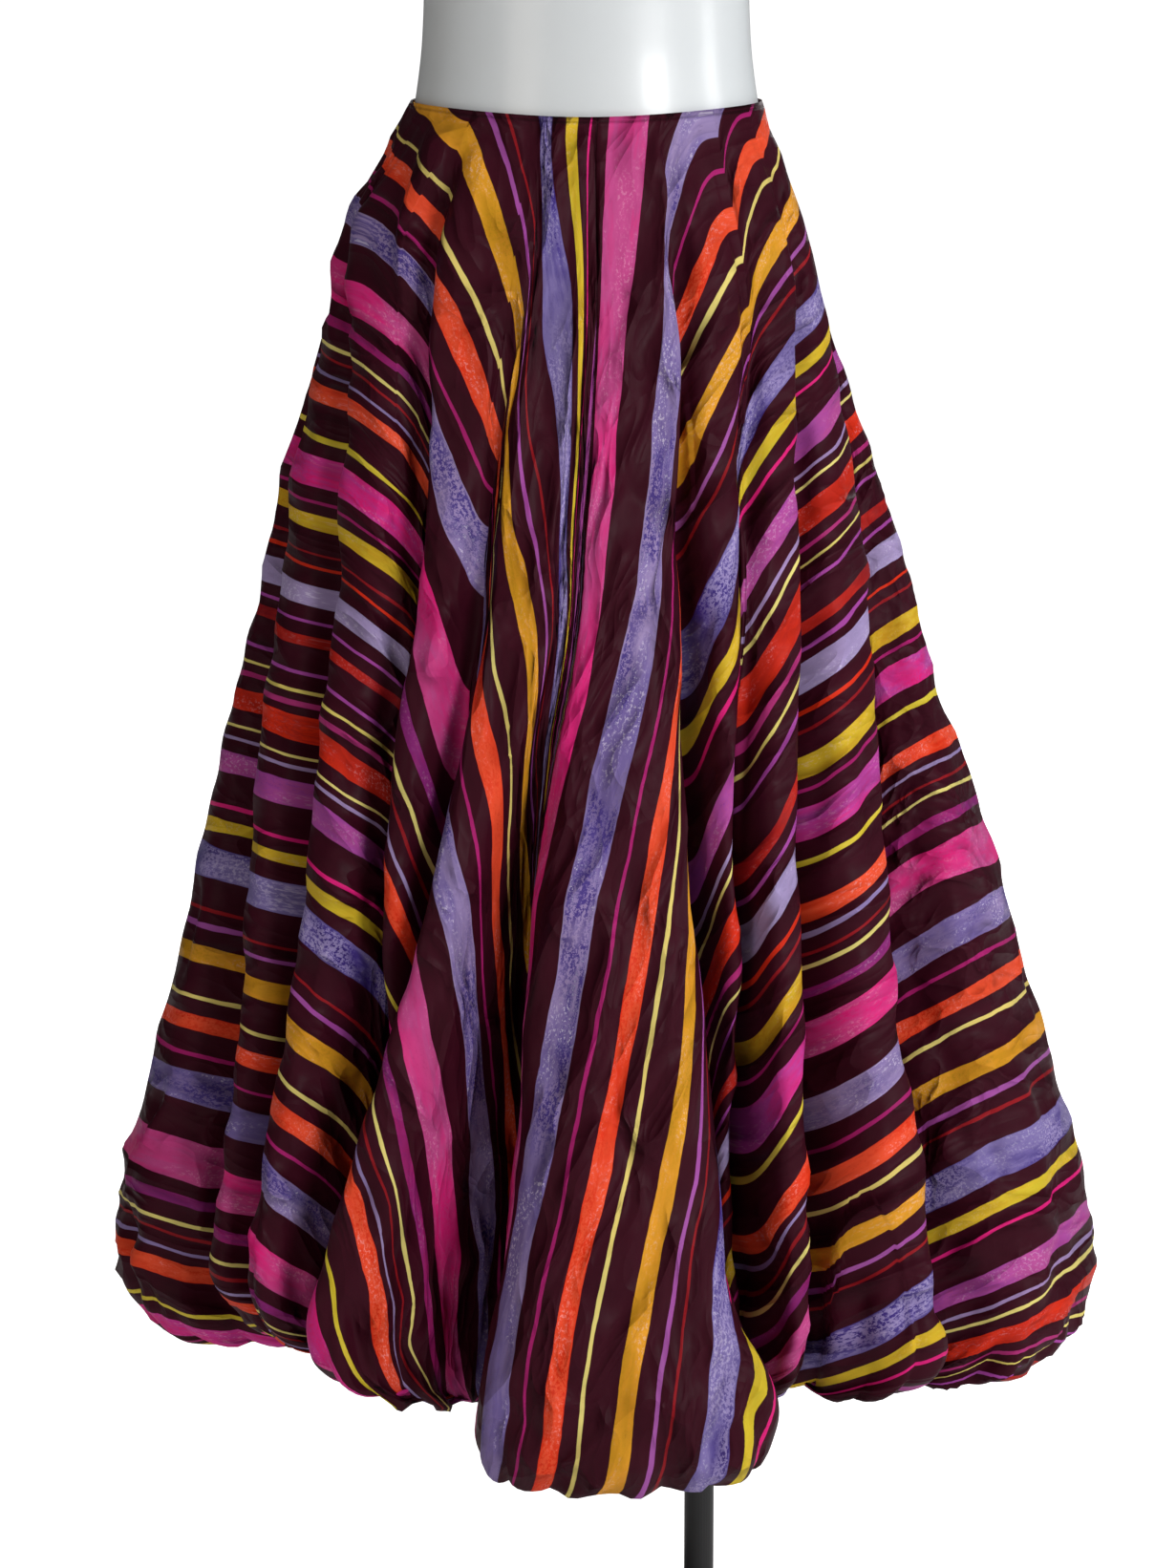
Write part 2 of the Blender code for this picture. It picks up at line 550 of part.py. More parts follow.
# ---------------------------------------------------------------- dress form
def dress_form():
    bm = bmesh.new()
    rings = []
    for h, half_w, half_f, half_b in FORM:
        ring = []
        for k in range(FORM_CELLS):
            az = 360.0 * k / FORM_CELLS
            r = oval(az, half_w, half_f, half_b)
            ring.append(bm.verts.new((r * math.sin(math.radians(az)), -r * math.cos(math.radians(az)),
                                      WAIST_Z + h)))
        rings.append(ring)
    bm.faces.new(rings[0])
    bm.faces.new(rings[-1])
    for a, b in zip(rings, rings[1:]):
        for k in range(FORM_CELLS):
            k2 = (k + 1) % FORM_CELLS
            bm.faces.new((a[k], a[k2], b[k2]))
            bm.faces.new((a[k], b[k2], b[k]))
    bmesh.ops.recalc_face_normals(bm, faces=bm.faces[:])
    return finish("dress_form", bm, "form_white")


dress_form()
FORM_BOTTOM = WAIST_Z + FORM[0][0]

# ---------------------------------------------------------------- stand
turned("form_socket", [
    (POLE_R + 0.0004, FORM_BOTTOM - TOUCH),
    (POLE_R + 0.0004, FORM_BOTTOM - TOUCH - SOCKET_DEEP),
    (SOCKET_R - 0.001, FORM_BOTTOM - TOUCH - SOCKET_DEEP),
    (SOCKET_R, FORM_BOTTOM - TOUCH - SOCKET_DEEP + 0.001),
    (SOCKET_R, FORM_BOTTOM - TOUCH - FLANGE_THICK),
    (FLANGE_R - 0.001, FORM_BOTTOM - TOUCH - FLANGE_THICK),
    (FLANGE_R, FORM_BOTTOM - TOUCH - FLANGE_THICK + 0.001),
    (FLANGE_R, FORM_BOTTOM - TOUCH),
], "fitting_steel", cells=32, at=(POLE_X, 0.0), bored=True)

turned("pole", [
    (POLE_R, BASE_THICK + TOUCH),
    (POLE_R, FORM_BOTTOM - 2 * TOUCH),
], "pole_black", cells=32, at=(POLE_X, 0.0))

turned("base_plate", [
    (BASE_R - 0.0015, 0.0),
    (BASE_R, 0.0015),
    (BASE_R, 0.0070),
    (BASE_R - 0.0020, 0.0090),
    (BASE_R - 0.0120, BASE_THICK),
], "pole_black", cells=64)

turned("base_collar", [
    (POLE_R + 0.0004, BASE_THICK + TOUCH),
    (COLLAR_R + 0.006, BASE_THICK + TOUCH),
    (COLLAR_R + 0.006, BASE_THICK + 0.004),
    (COLLAR_R, BASE_THICK + 0.006),
    (COLLAR_R, BASE_THICK + COLLAR_HIGH - 0.0015),
    (COLLAR_R - 0.0015, BASE_THICK + COLLAR_HIGH),
    (POLE_R + 0.0004, BASE_THICK + COLLAR_HIGH),
], "fitting_steel", cells=32, at=(POLE_X, 0.0), bored=True)


# ---------------------------------------------------------------- zip
def zip_frame():
    """Origin on the cloth over the back seam, and its right, down and out axes."""
    top, low = right_grid[0][-1], right_grid[1][-1]
    top2, low2 = left_grid[0][0], left_grid[1][0]
    top, low = (top + top2) / 2, (low + low2) / 2
    down = (low - top).normalized()
    side = (left_grid[0][1] - right_grid[0][-2])
    side = (side - down * side.dot(down)).normalized()
    out = down.cross(side)
    if out.y < 0:
        out = -out
    side = down.cross(out).normalized()
    return top + down * SLIDER_DEPTH, side, down, out


def local_matrix(origin, side, down, out):
    """x along side, y along down, z outwards."""
    m = Matrix((side, down, out)).transposed().to_4x4()
    m.translation = origin
    return m


def block(bm, size, centre):
    made = bmesh.ops.create_cube(bm, size=1.0)["verts"]
    bmesh.ops.scale(bm, vec=size, verts=made)
    bmesh.ops.translate(bm, vec=centre, verts=made)
    return made


ORIGIN, SIDE, DOWN, OUT = zip_frame()
OUT_OFF = 0.0006           # the slider's underside over the cloth


def plate_outline(width, length, corner, steps=4):
    """Rounded rectangle, centred, anticlockwise."""
    pts = []
    for sx, sy, a0 in ((1, 1, 0), (-1, 1, 90), (-1, -1, 180), (1, -1, 270)):
        cx, cy = sx * (width / 2 - corner), sy * (length / 2 - corner)
        for k in range(steps + 1):
            a = math.radians(a0 + 90.0 * k / steps)
            pts.append((cx + corner * math.cos(a), cy + corner * math.sin(a)))
    return pts


def prism(name, outline, z0, z1):
    bm = bmesh.new()
    low = [bm.verts.new((x, y, z0)) for x, y in outline]
    high = [bm.verts.new((x, y, z1)) for x, y in outline]
    bm.faces.new(low)
    bm.faces.new(high)
    n = len(outline)
    for k in range(n):
        bm.faces.new((low[k], low[(k + 1) % n], high[(k + 1) % n], high[k]))
    bmesh.ops.recalc_face_normals(bm, faces=bm.faces[:])
    mesh = bpy.data.meshes.new(name)
    bm.to_mesh(mesh)
    bm.free()
    ob = bpy.data.objects.new(name, mesh)
    bpy.context.scene.collection.objects.link(ob)
    return ob


def rod(name, radius, width, y, z, cells=16):
    """Round bar along x."""
    bm = bmesh.new()
    a = [bm.verts.new((-width / 2, y + radius * math.cos(2 * math.pi * k / cells),
                       z + radius * math.sin(2 * math.pi * k / cells))) for k in range(cells)]
    b = [bm.verts.new((width / 2, v.co.y, v.co.z)) for v in a]
    bm.faces.new(a)
    bm.faces.new(b)
    for k in range(cells):
        bm.faces.new((a[k], a[(k + 1) % cells], b[(k + 1) % cells], b[k]))
    bmesh.ops.recalc_face_normals(bm, faces=bm.faces[:])
    mesh = bpy.data.meshes.new(name)
    bm.to_mesh(mesh)
    bm.free()
    ob = bpy.data.objects.new(name, mesh)
    bpy.context.scene.collection.objects.link(ob)
    return ob


def combine(target, others, operation):
    for k, other in enumerate(others):
        mod = target.modifiers.new("bool_%d" % k, "BOOLEAN")
        mod.operation = operation
        mod.solver = "EXACT"
        mod.object = other
    dg = bpy.context.evaluated_depsgraph_get()
    mesh = bpy.data.meshes.new_from_object(target.evaluated_get(dg))
    target.modifiers.clear()
    target.data = mesh
    for other in others:
        bpy.data.objects.remove(other, do_unlink=True)


PIN_Y = 0.0020             # the pin lies this far below the slider's middle
PIN_Z = OUT_OFF + PIN_OVER

slider = prism("zip_slider", plate_outline(SLIDER_W, SLIDER_L, 0.0016), OUT_OFF, OUT_OFF + SLIDER_T)
lug_x = EYE_W / 2 + 0.0003 + LUG_W / 2
lugs = []
for sx in (-1, 1):
    outline = plate_outline(LUG_W, 0.0024, 0.0002, steps=1)
    lug = prism("lug", [(x + sx * lug_x, y + PIN_Y) for x, y in outline], OUT_OFF + SLIDER_T - 0.0004, PIN_Z + 0.0010)
    lugs.append(lug)
pin = rod("pin", PIN_R, 2 * (lug_x), PIN_Y, PIN_Z)
combine(slider, lugs + [pin], "UNION")
slider.data.materials.clear()
slider.data.materials.append(material("zip_slider", "zip_metal"))
slider.data.transform(local_matrix(ORIGIN, SIDE, DOWN, OUT))

# pull tab, modelled with its origin on the pin's axis
tab_outline = []
for k in range(13):
    a = math.radians(-90.0 + 180.0 * k / 12)
    tab_outline.append((TAB_W / 2 * math.cos(a), TAB_L - TAB_W / 2 + TAB_W / 2 * math.sin(a)) if k > 0 else (TAB_W / 2, TAB_L - TAB_W))
tab_outline = [(EYE_W / 2, 0.0004), (EYE_W / 2, 0.0030), (TAB_W / 2, 0.0075), (TAB_W / 2, TAB_L - TAB_W / 2)]
for k in range(1, 8):
    a = math.pi * k / 8
    tab_outline.append((TAB_W / 2 * math.cos(a), TAB_L - TAB_W / 2 + TAB_W / 2 * math.sin(a)))
tab_outline += [(-TAB_W / 2, TAB_L - TAB_W / 2), (-TAB_W / 2, 0.0075), (-EYE_W / 2, 0.0030), (-EYE_W / 2, 0.0004)]
tab = prism("zip_pull", tab_outline, -TAB_T / 2, TAB_T / 2)
eye = rod("eye", EYE_R, EYE_W, 0.0, 0.0, cells=20)
combine(tab, [eye], "UNION")
bore = rod("bore", EYE_BORE, EYE_W * 2, 0.0, 0.0, cells=16)
combine(tab, [bore], "DIFFERENCE")
tab.data.materials.clear()
tab.data.materials.append(material("zip_pull", "zip_metal"))
basis = local_matrix(ORIGIN + DOWN * PIN_Y + OUT * PIN_Z, SIDE, DOWN, OUT)
tab.data.transform(basis.to_3x3().to_4x4())
tab.location = basis.translation
bpy.context.view_layer.update()
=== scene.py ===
"""Looks of the balloon skirt on its dress form: cloth, print, form, stand, light."""
import bpy
import math
import numpy as np
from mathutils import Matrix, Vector, noise


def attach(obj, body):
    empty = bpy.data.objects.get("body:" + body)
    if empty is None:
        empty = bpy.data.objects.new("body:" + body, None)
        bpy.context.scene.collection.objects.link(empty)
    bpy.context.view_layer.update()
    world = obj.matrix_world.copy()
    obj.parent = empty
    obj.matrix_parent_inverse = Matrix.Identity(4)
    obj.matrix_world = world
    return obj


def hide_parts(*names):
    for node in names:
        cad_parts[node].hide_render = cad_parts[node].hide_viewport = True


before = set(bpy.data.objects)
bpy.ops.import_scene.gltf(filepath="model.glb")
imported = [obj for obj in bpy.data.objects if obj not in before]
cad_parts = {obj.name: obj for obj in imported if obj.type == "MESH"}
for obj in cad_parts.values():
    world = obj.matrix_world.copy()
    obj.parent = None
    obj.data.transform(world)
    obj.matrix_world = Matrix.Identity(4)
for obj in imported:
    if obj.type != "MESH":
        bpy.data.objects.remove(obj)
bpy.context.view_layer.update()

# ---------------------------------------------------------------- camera
CAM_BACK, CAM_UP, WAIST_Z = 3.8, 0.27, 1.320
cam_data = bpy.data.cameras.new("camera")
cam_data.sensor_fit = "AUTO"
cam_data.sensor_width = 36.0
cam_data.lens = 108.63
cam = bpy.data.objects.new("camera", cam_data)
bpy.context.scene.collection.objects.link(cam)
cam.location = (0.0012, -CAM_BACK, WAIST_Z + CAM_UP)
cam.rotation_euler = (math.radians(90.0 - 12.29), 0.0, 0.0)
cam_data.clip_start, cam_data.clip_end = 0.1, 100.0
bpy.context.scene.camera = cam

# ---------------------------------------------------------------- sizes
FLAT_WAIST_R = 0.121       # radius of the waist line on the flat circle
TURN_WAIST = 7.0           # the waist line sits turned by this much, degrees
WAIST_DIP = 0.006
FORM_CLEAR = 0.007
VALLEY_MIN_R = 0.150
ROUNDING = 0.085
RETURN_OFF = 0.0074
GATHER_WIDE = 15.0

# depth, half width, half depth at front, half depth at back, shift to +X
SECTIONS = [
    (0.000, 0.140, 0.100, 0.100, 0.000), (0.030, 0.154, 0.113, 0.114, -0.004),
    (0.060, 0.167, 0.124, 0.127, -0.006), (0.100, 0.183, 0.138, 0.144, -0.008),
    (0.150, 0.197, 0.152, 0.162, -0.008), (0.200, 0.211, 0.168, 0.179, -0.008),
    (0.300, 0.241, 0.200, 0.212, -0.008), (0.380, 0.261, 0.224, 0.236, -0.004),
    (0.460, 0.282, 0.250, 0.260, -0.003), (0.540, 0.305, 0.273, 0.283, 0.002),
    (0.620, 0.328, 0.295, 0.305, 0.007), (0.700, 0.351, 0.315, 0.325, 0.010),
    (0.785, 0.378, 0.335, 0.345, 0.012), (0.870, 0.401, 0.352, 0.362, 0.012),
    (0.940, 0.409, 0.365, 0.373, 0.012), (1.040, 0.409, 0.365, 0.373, 0.012),
]
FOLD_LEVELS = (0.10, 0.25, 0.40, 0.60, 0.80, 0.98)

# name, flat_top, flat_hem, azimuths, sinks, both at FOLD_LEVELS
VALLEYS = [
    ("front_seam", -4.0, -4.0, (4.0, 1.0, -4.0, -15.5, -20.0, -26.0), (0.00, 0.01, 0.06, 0.34, 0.46, 0.47)),
    ("front_right", 22.0, 17.0, (33.0, 27.0, 23.0, 20.0, 20.5, 29.0), (0.07, 0.14, 0.20, 0.28, 0.38, 0.42)),
    ("right_inner", 42.0, 27.0, (54.0, 44.0, 35.0, 26.5, 26.0, 31.0), (0.03, 0.08, 0.12, 0.26, 0.38, 0.43)),
    ("right_deep", 60.0, 42.0, (77.0, 61.0, 50.0, 38.5, 35.5, 38.0), (0.06, 0.17, 0.28, 0.39, 0.44, 0.45)),
    ("right_outer", 84.0, 68.0, (97.0, 88.0, 74.0, 58.0, 51.0, 52.0), (0.03, 0.09, 0.17, 0.26, 0.36, 0.42)),
    ("right_side", 105.0, 96.0, (114.0, 110.0, 105.0, 100.0, 97.0, 96.0), (0.05, 0.12, 0.20, 0.30, 0.40, 0.45)),
    ("back_1", 124.0, 120.0, (132.0, 129.0, 126.0, 124.0, 122.0, 121.0), (0.04, 0.13, 0.22, 0.32, 0.41, 0.46)),
    ("back_2", 146.0, 144.0, (152.0, 150.0, 149.0, 148.0, 147.0, 147.0), (0.05, 0.12, 0.22, 0.33, 0.42, 0.46)),
    ("back_3", 168.0, 168.0, (174.0, 173.0, 172.0, 171.0, 171.0, 170.0), (0.00, 0.05, 0.16, 0.32, 0.43, 0.47)),
    ("back_4", 194.0, 193.0, (201.0, 199.0, 197.0, 195.0, 194.0, 193.0), (0.00, 0.05, 0.17, 0.30, 0.42, 0.47)),
    ("back_5", 216.0, 217.0, (221.0, 219.0, 218.0, 217.0, 217.0, 217.0), (0.05, 0.13, 0.22, 0.33, 0.42, 0.46)),
    ("left_back", 238.0, 242.0, (239.0, 240.0, 241.0, 242.0, 242.0, 242.0), (0.04, 0.12, 0.21, 0.31, 0.40, 0.45)),
    ("left_side", 256.0, 257.0, (254.0, 257.0, 261.0, 265.0, 266.0, 266.0), (0.05, 0.12, 0.20, 0.30, 0.38, 0.44)),
    ("left_outer", 271.0, 271.0, (266.0, 270.0, 278.0, 287.0, 295.0, 296.0), (0.05, 0.10, 0.16, 0.24, 0.33, 0.40)),
    ("left_mid", 286.0, 286.0, (279.0, 294.0, 301.0, 304.5, 306.0, 306.5), (0.06, 0.12, 0.18, 0.26, 0.36, 0.42)),
    ("left_deep", 309.0, 310.0, (311.0, 318.0, 322.0, 321.0, 317.0, 316.0), (0.10, 0.18, 0.28, 0.40, 0.45, 0.46)),
    ("left_inner", 338.0, 338.0, (346.0, 340.5, 337.0, 331.0, 324.5, 321.0), (0.02, 0.07, 0.12, 0.27, 0.42, 0.46)),
]

# how much further down some valleys reach at the hem
VALLEY_DROPS = {"front_seam": 1.034, "front_right": 1.012, "right_inner": 1.012, "right_deep": 1.014,
                "right_outer": 1.026, "left_side": 1.010}
TILTS = {"centre_left": 0.040}      # how much lower a flute's bottom hangs towards its right valley
LOW_FLAT = {"centre_front": 0.85}   # a balloon whose bottom is rounder than its crest

# name, reach, flat, k_left, k_right, lean, drop
FLUTES = [
    ("centre_front", (1.00, 1.00, 1.00, 1.01, 1.02, 1.02), 1.8, 0.25, 0.27, 2.0, 1.053),
    ("right_tuck", (1.00, 0.99, 0.98, 0.92, 0.72, 0.585), 1.1, 0.08, 0.10, 0.0, 1.012),
    ("right_1", (0.99, 0.98, 0.98, 0.97, 0.92, 0.80), 1.6, 0.10, 0.10, -3.0, 1.012),
    ("right_2", (1.00, 0.98, 0.97, 0.97, 0.97, 0.96), 1.3, 0.18, 0.18, -1.0, 1.009),
    ("right_3", (1.00, 1.01, 1.01, 1.02, 1.01, 1.01), 2.0, 0.16, 0.17, 0.0, 1.022),
    ("right_4", (1.00, 1.00, 0.99, 1.00, 1.00, 1.00), 1.3, 0.17, 0.18, 1.0, 0.995),
    ("back_a", (0.99, 1.00, 1.01, 1.00, 1.01, 1.01), 1.3, 0.18, 0.18, -1.0, 1.000),
    ("back_b", (1.00, 0.99, 0.99, 1.00, 0.99, 0.99), 1.2, 0.18, 0.18, 1.5, 1.005),
    ("back_c", (1.00, 1.00, 1.01, 1.01, 1.02, 1.02), 1.3, 0.18, 0.17, 0.0, 1.015),
    ("back_d", (1.00, 0.99, 0.99, 0.99, 1.00, 1.00), 1.2, 0.18, 0.18, -1.5, 1.000),
    ("back_e", (0.99, 1.00, 1.01, 1.01, 1.00, 0.99), 1.3, 0.18, 0.18, 1.0, 1.002),
    ("left_4", (1.00, 1.00, 1.00, 0.99, 1.00, 1.01), 1.3, 0.18, 0.17, 0.0, 1.014),
    ("left_3", (1.00, 1.00, 0.99, 1.00, 1.00, 0.99), 1.6, 0.17, 0.17, 2.5, 1.003),
    ("left_2", (0.99, 0.98, 0.97, 0.96, 0.94, 0.92), 1.1, 0.16, 0.14, 2.5, 0.975),
    ("left_1", (1.00, 0.99, 0.98, 0.98, 0.98, 0.97), 1.3, 0.18, 0.13, 2.5, 0.969),
    ("left_tuck", (1.00, 1.00, 1.00, 0.95, 0.70, 0.56), 1.2, 0.08, 0.10, 0.0, 0.990),
    ("centre_left", (0.99, 0.99, 0.99, 0.99, 1.00, 1.02), 1.3, 0.14, 0.17, -4.0, 0.980),
]

# level, share, valley_level, inside
ROWS = [
    (0.000, 1.000, 0.000, 0.0), (0.040, 1.000, 0.040, 0.0), (0.090, 1.000, 0.090, 0.0),
    (0.150, 1.000, 0.151, 0.0), (0.220, 1.000, 0.222, 0.0), (0.310, 1.000, 0.314, 0.0),
    (0.410, 1.000, 0.416, 0.0), (0.520, 1.000, 0.529, 0.0), (0.630, 1.000, 0.642, 0.0),
    (0.740, 1.000, 0.755, 0.0), (0.840, 1.000, 0.858, 0.0), (0.920, 1.000, 0.936, 0.0),
    (0.970, 0.970, 0.976, 0.0), (0.998, 0.890, 0.998, 0.22),
    (0.996, 0.790, 0.997, 0.78), (0.975, 0.715, 0.977, 1.0), (0.958, 0.700, 0.960, 1.0),
]
LAST_OUTER = 12            # the row where the return starts

# height, half width, half depth at front, half depth at back
FORM = [
    (-0.372, 0.128, 0.080, 0.088), (-0.367, 0.140, 0.090, 0.098), (-0.350, 0.154, 0.099, 0.110),
    (-0.300, 0.166, 0.106, 0.122), (-0.200, 0.171, 0.108, 0.124), (-0.120, 0.163, 0.105, 0.115),
    (-0.050, 0.147, 0.099, 0.102), (0.000, 0.1365, 0.0955, 0.0955), (0.050, 0.1305, 0.0920, 0.0900),
    (0.090, 0.1290, 0.0910, 0.0890), (0.140, 0.1310, 0.0940, 0.0910), (0.200, 0.1380, 0.1010, 0.0960),
    (0.270, 0.1460, 0.1110, 0.1010), (0.330, 0.1520, 0.1150, 0.1040), (0.390, 0.1580, 0.1060, 0.1050),
    (0.435, 0.1660, 0.0940, 0.1010), (0.465, 0.1640, 0.0850, 0.0930), (0.490, 0.1480, 0.0760, 0.0830),
    (0.508, 0.1200, 0.0690, 0.0740), (0.522, 0.0880, 0.0630, 0.0660), (0.540, 0.0660, 0.0570, 0.0600),
    (0.570, 0.0560, 0.0530, 0.0560), (0.605, 0.0530, 0.0510, 0.0540), (0.615, 0.0500, 0.0480, 0.0510),
    (0.619, 0.0420, 0.0400, 0.0430),
]


def smooth(xs, ys, x):
    """Monotone cubic through (xs, ys), held flat past the ends."""
    n = len(xs)
    if x <= xs[0]:
        return ys[0]
    if x >= xs[-1]:
        return ys[-1]
    k = 0
    while x > xs[k + 1]:
        k += 1

    def slope(i):
        if i == 0 or i == n - 1:
            return 0.0
        d0 = (ys[i] - ys[i - 1]) / (xs[i] - xs[i - 1])
        d1 = (ys[i + 1] - ys[i]) / (xs[i + 1] - xs[i])
        return 0.0 if d0 * d1 <= 0 else 2.0 * d0 * d1 / (d0 + d1)

    h = xs[k + 1] - xs[k]
    t = (x - xs[k]) / h
    m0 = (ys[1] - ys[0]) if k == 0 else slope(k) * h
    m1 = (ys[-1] - ys[-2]) if k == n - 2 else slope(k + 1) * h
    t2, t3 = t * t, t * t * t
    return ((2 * t3 - 3 * t2 + 1) * ys[k] + (t3 - 2 * t2 + t) * m0
            + (-2 * t3 + 3 * t2) * ys[k + 1] + (t3 - t2) * m1)


def ease(a, b, x):
    t = np.clip((x - a) / (b - a), 0.0, 1.0)
    return t * t * (3 - 2 * t)


SEC_D = [r[0] for r in SECTIONS]


def section(depth):
    return tuple(smooth(SEC_D, [r[k] for r in SECTIONS], depth) for k in (1, 2, 3, 4))


def oval(az, half_w, half_f, half_b):
    s, c = np.sin(np.radians(az)), np.cos(np.radians(az))
    half_d = np.where(c > 0, half_f, half_b)
    return 1.0 / np.sqrt((s / half_w) ** 2 + (c / half_d) ** 2)


FORM_AT = np.linspace(-0.40, 0.09, 197)
FORM_HALF = [np.array([smooth([r[0] for r in FORM], [r[k] for r in FORM], h) for h in FORM_AT]) for k in (1, 2, 3)]


def form_radius(az, depth):
    half = [np.interp(-depth, FORM_AT, col) for col in FORM_HALF]
    return np.where(-depth < FORM[0][0] - 0.02, 0.0, oval(az, *half))


def waist_table():
    a, f, b, _ = section(0.0)
    azs = np.linspace(-180.0, 180.0, 721)
    r = oval(azs, a, f, b)
    x, y = r * np.sin(np.radians(azs)), -r * np.cos(np.radians(azs))
    run = np.concatenate([[0.0], np.cumsum(np.hypot(np.diff(x), np.diff(y)))])
    return azs, run


WAIST_AZ, WAIST_RUN = waist_table()


def waist_azimuth(flat):
    turns = math.floor((flat + 180.0) / 360.0)
    want = (flat - 360.0 * turns + 180.0) / 360.0 * WAIST_RUN[-1]
    return float(np.interp(want, WAIST_RUN, WAIST_AZ)) + 360.0 * turns + TURN_WAIST


NV = len(VALLEYS)


def valley(j, level):
    turn, k = divmod(j, NV)
    name, flat_top, flat_hem, azs, sinks = VALLEYS[k]
    xs = (0.0,) + FOLD_LEVELS
    az = smooth(xs, (waist_azimuth(flat_top),) + azs, level)
    flat = flat_top + (flat_hem - flat_top) * float(ease(0.15, 0.85, level))
    sink = smooth(xs, (0.0,) + sinks, level)
    drop = 1.0 + (VALLEY_DROPS.get(name, 1.0) - 1.0) * float(ease(0.3, 1.0, level))
    return az + 360.0 * turn, flat + 360.0 * turn, sink, drop


def row_at(u):
    """The ROWS values at a fractional row."""
    ks = list(range(len(ROWS)))
    return tuple(smooth(ks, [r[c] for r in ROWS], u) for c in range(4))


def flute_at(i, row):
    level, share, valley_level, inside = row
    name, reach, flatness, k_left, k_right, lean, drop = FLUTES[i % NV]
    crest_depth = level * (1.0 + (drop - 1.0) * float(ease(0.3, 1.0, level)))
    az0, fl0, sink0, low0 = valley(i, level)
    az1, fl1, sink1, low1 = valley(i + 1, level)
    xs = (0.0,) + FOLD_LEVELS
    return {"az0": az0, "az1": az1, "fl0": fl0, "fl1": fl1, "sink0": sink0, "sink1": sink1,
            "reach": smooth(xs, (1.0,) + reach, level), "share": share, "flat": flatness,
            "gather": inside * max(0.0, 1.0 - ((az1 - az0) / GATHER_WIDE) ** 2),
            "kl": k_left, "kr": k_right, "lean": lean * float(ease(0.35, 0.9, level)),
            "low_flat": LOW_FLAT.get(name, flatness),
            "tilt": TILTS.get(name, 0.0) * float(ease(0.3, 1.0, level)),
            "crest_depth": crest_depth, "valley_depth": (valley_level * low0, valley_level * low1), "level": level}


def flute_points(f, w):
    """Points of the outer face at places w (an array), -1 in the left valley to 1 in the right."""
    w = np.asarray(w, float)
    k = np.where(w < 0, f["kl"], f["kr"])
    h = w + k * np.sin(np.pi * w) + ROUNDING * np.sin(2.0 * np.pi * w)
    g = 1.0 - (np.sin(np.pi * w / 2.0) ** 2) ** f["flat"]
    low_g = 1.0 - (np.sin(np.pi * w / 2.0) ** 2) ** f["low_flat"]
    az = f["az0"] + (f["az1"] - f["az0"]) * (h + 1.0) / 2.0
    low0, low1 = f["valley_depth"]
    bottom = low0 + (low1 - low0) * (w + 1.0) / 2.0
    depth = bottom + (f["crest_depth"] + f["tilt"] * np.maximum(0.0, w) - bottom) * low_g
    half_w, half_f, half_b, shift = section(f["level"])
    sink = f["sink0"] + (f["sink1"] - f["sink0"]) * (w + 1.0) / 2.0
    body = oval(az, half_w, half_f, half_b)
    low = np.maximum(body * (1.0 - sink), VALLEY_MIN_R * float(ease(0.2, 0.5, f["level"])))
    full = np.maximum(body * f["reach"], low)
    high = np.maximum(body * f["reach"] * f["share"], low)
    high = high - (high - low) * f["gather"]
    az = az + f["lean"] * g * (high - low) / np.maximum(0.001, full - low)
    if f["level"] < 0.40:
        low = np.maximum(low, np.minimum(form_radius(az, depth) + FORM_CLEAR, high))
    r = low + (high - low) * g
    s, c = np.sin(np.radians(az)), np.cos(np.radians(az))
    dip = WAIST_DIP * np.maximum(0.0, c) ** 2 * (1.0 - ease(0.0, 0.25, depth))
    return np.stack([shift + r * s, -r * c, WAIST_Z - depth - dip], axis=-1)


# ---------------------------------------------------------------- the cloth's grid
# mesh columns across each flute, more where it is wide or in front
COLUMNS = (92, 44, 60, 80, 84, 60, 54, 54, 54, 54, 54, 60, 72, 54, 60, 48, 80)


def columns_of(i):
    n = COLUMNS[i % NV]
    return n


def places(i, cells):
    """Places across flute i for its mesh lines, closer where it bends more."""
    f = flute_at(i, (0.80, 1.0, 0.80, 0.0))
    n = 400
    ws = np.linspace(-1.0, 1.0, n + 1)
    pts = flute_points(f, ws)
    seg = np.diff(pts, axis=0)
    length = np.linalg.norm(seg, axis=1)
    unit = seg / length[:, None]
    bend = np.concatenate([[0.0], np.arccos(np.clip((unit[1:] * unit[:-1]).sum(1), -1, 1))])
    load = np.concatenate([[0.0], np.cumsum(0.72 * length / length.sum() + 0.28 * bend / bend.sum())])
    return np.interp(np.linspace(0, 1, cells + 1), load, ws)


def row_steps():
    """Fractional rows for the fine mesh, evenly spaced along the cloth."""
    us = np.linspace(0.0, len(ROWS) - 1, 641)
    f_pts = []
    for u in us:
        f_pts.append(flute_points(flute_at(5, row_at(u)), [0.0])[0])
    run = np.concatenate([[0.0], np.cumsum(np.linalg.norm(np.diff(f_pts, axis=0), axis=1))])
    weight = np.diff(run) * np.where(us[1:] > 10.5, 1.7, 1.0)
    load = np.concatenate([[0.0], np.cumsum(weight)])
    n = 172
    return np.interp(np.linspace(0, load[-1], n + 1), load, us)


STEPS = row_steps()


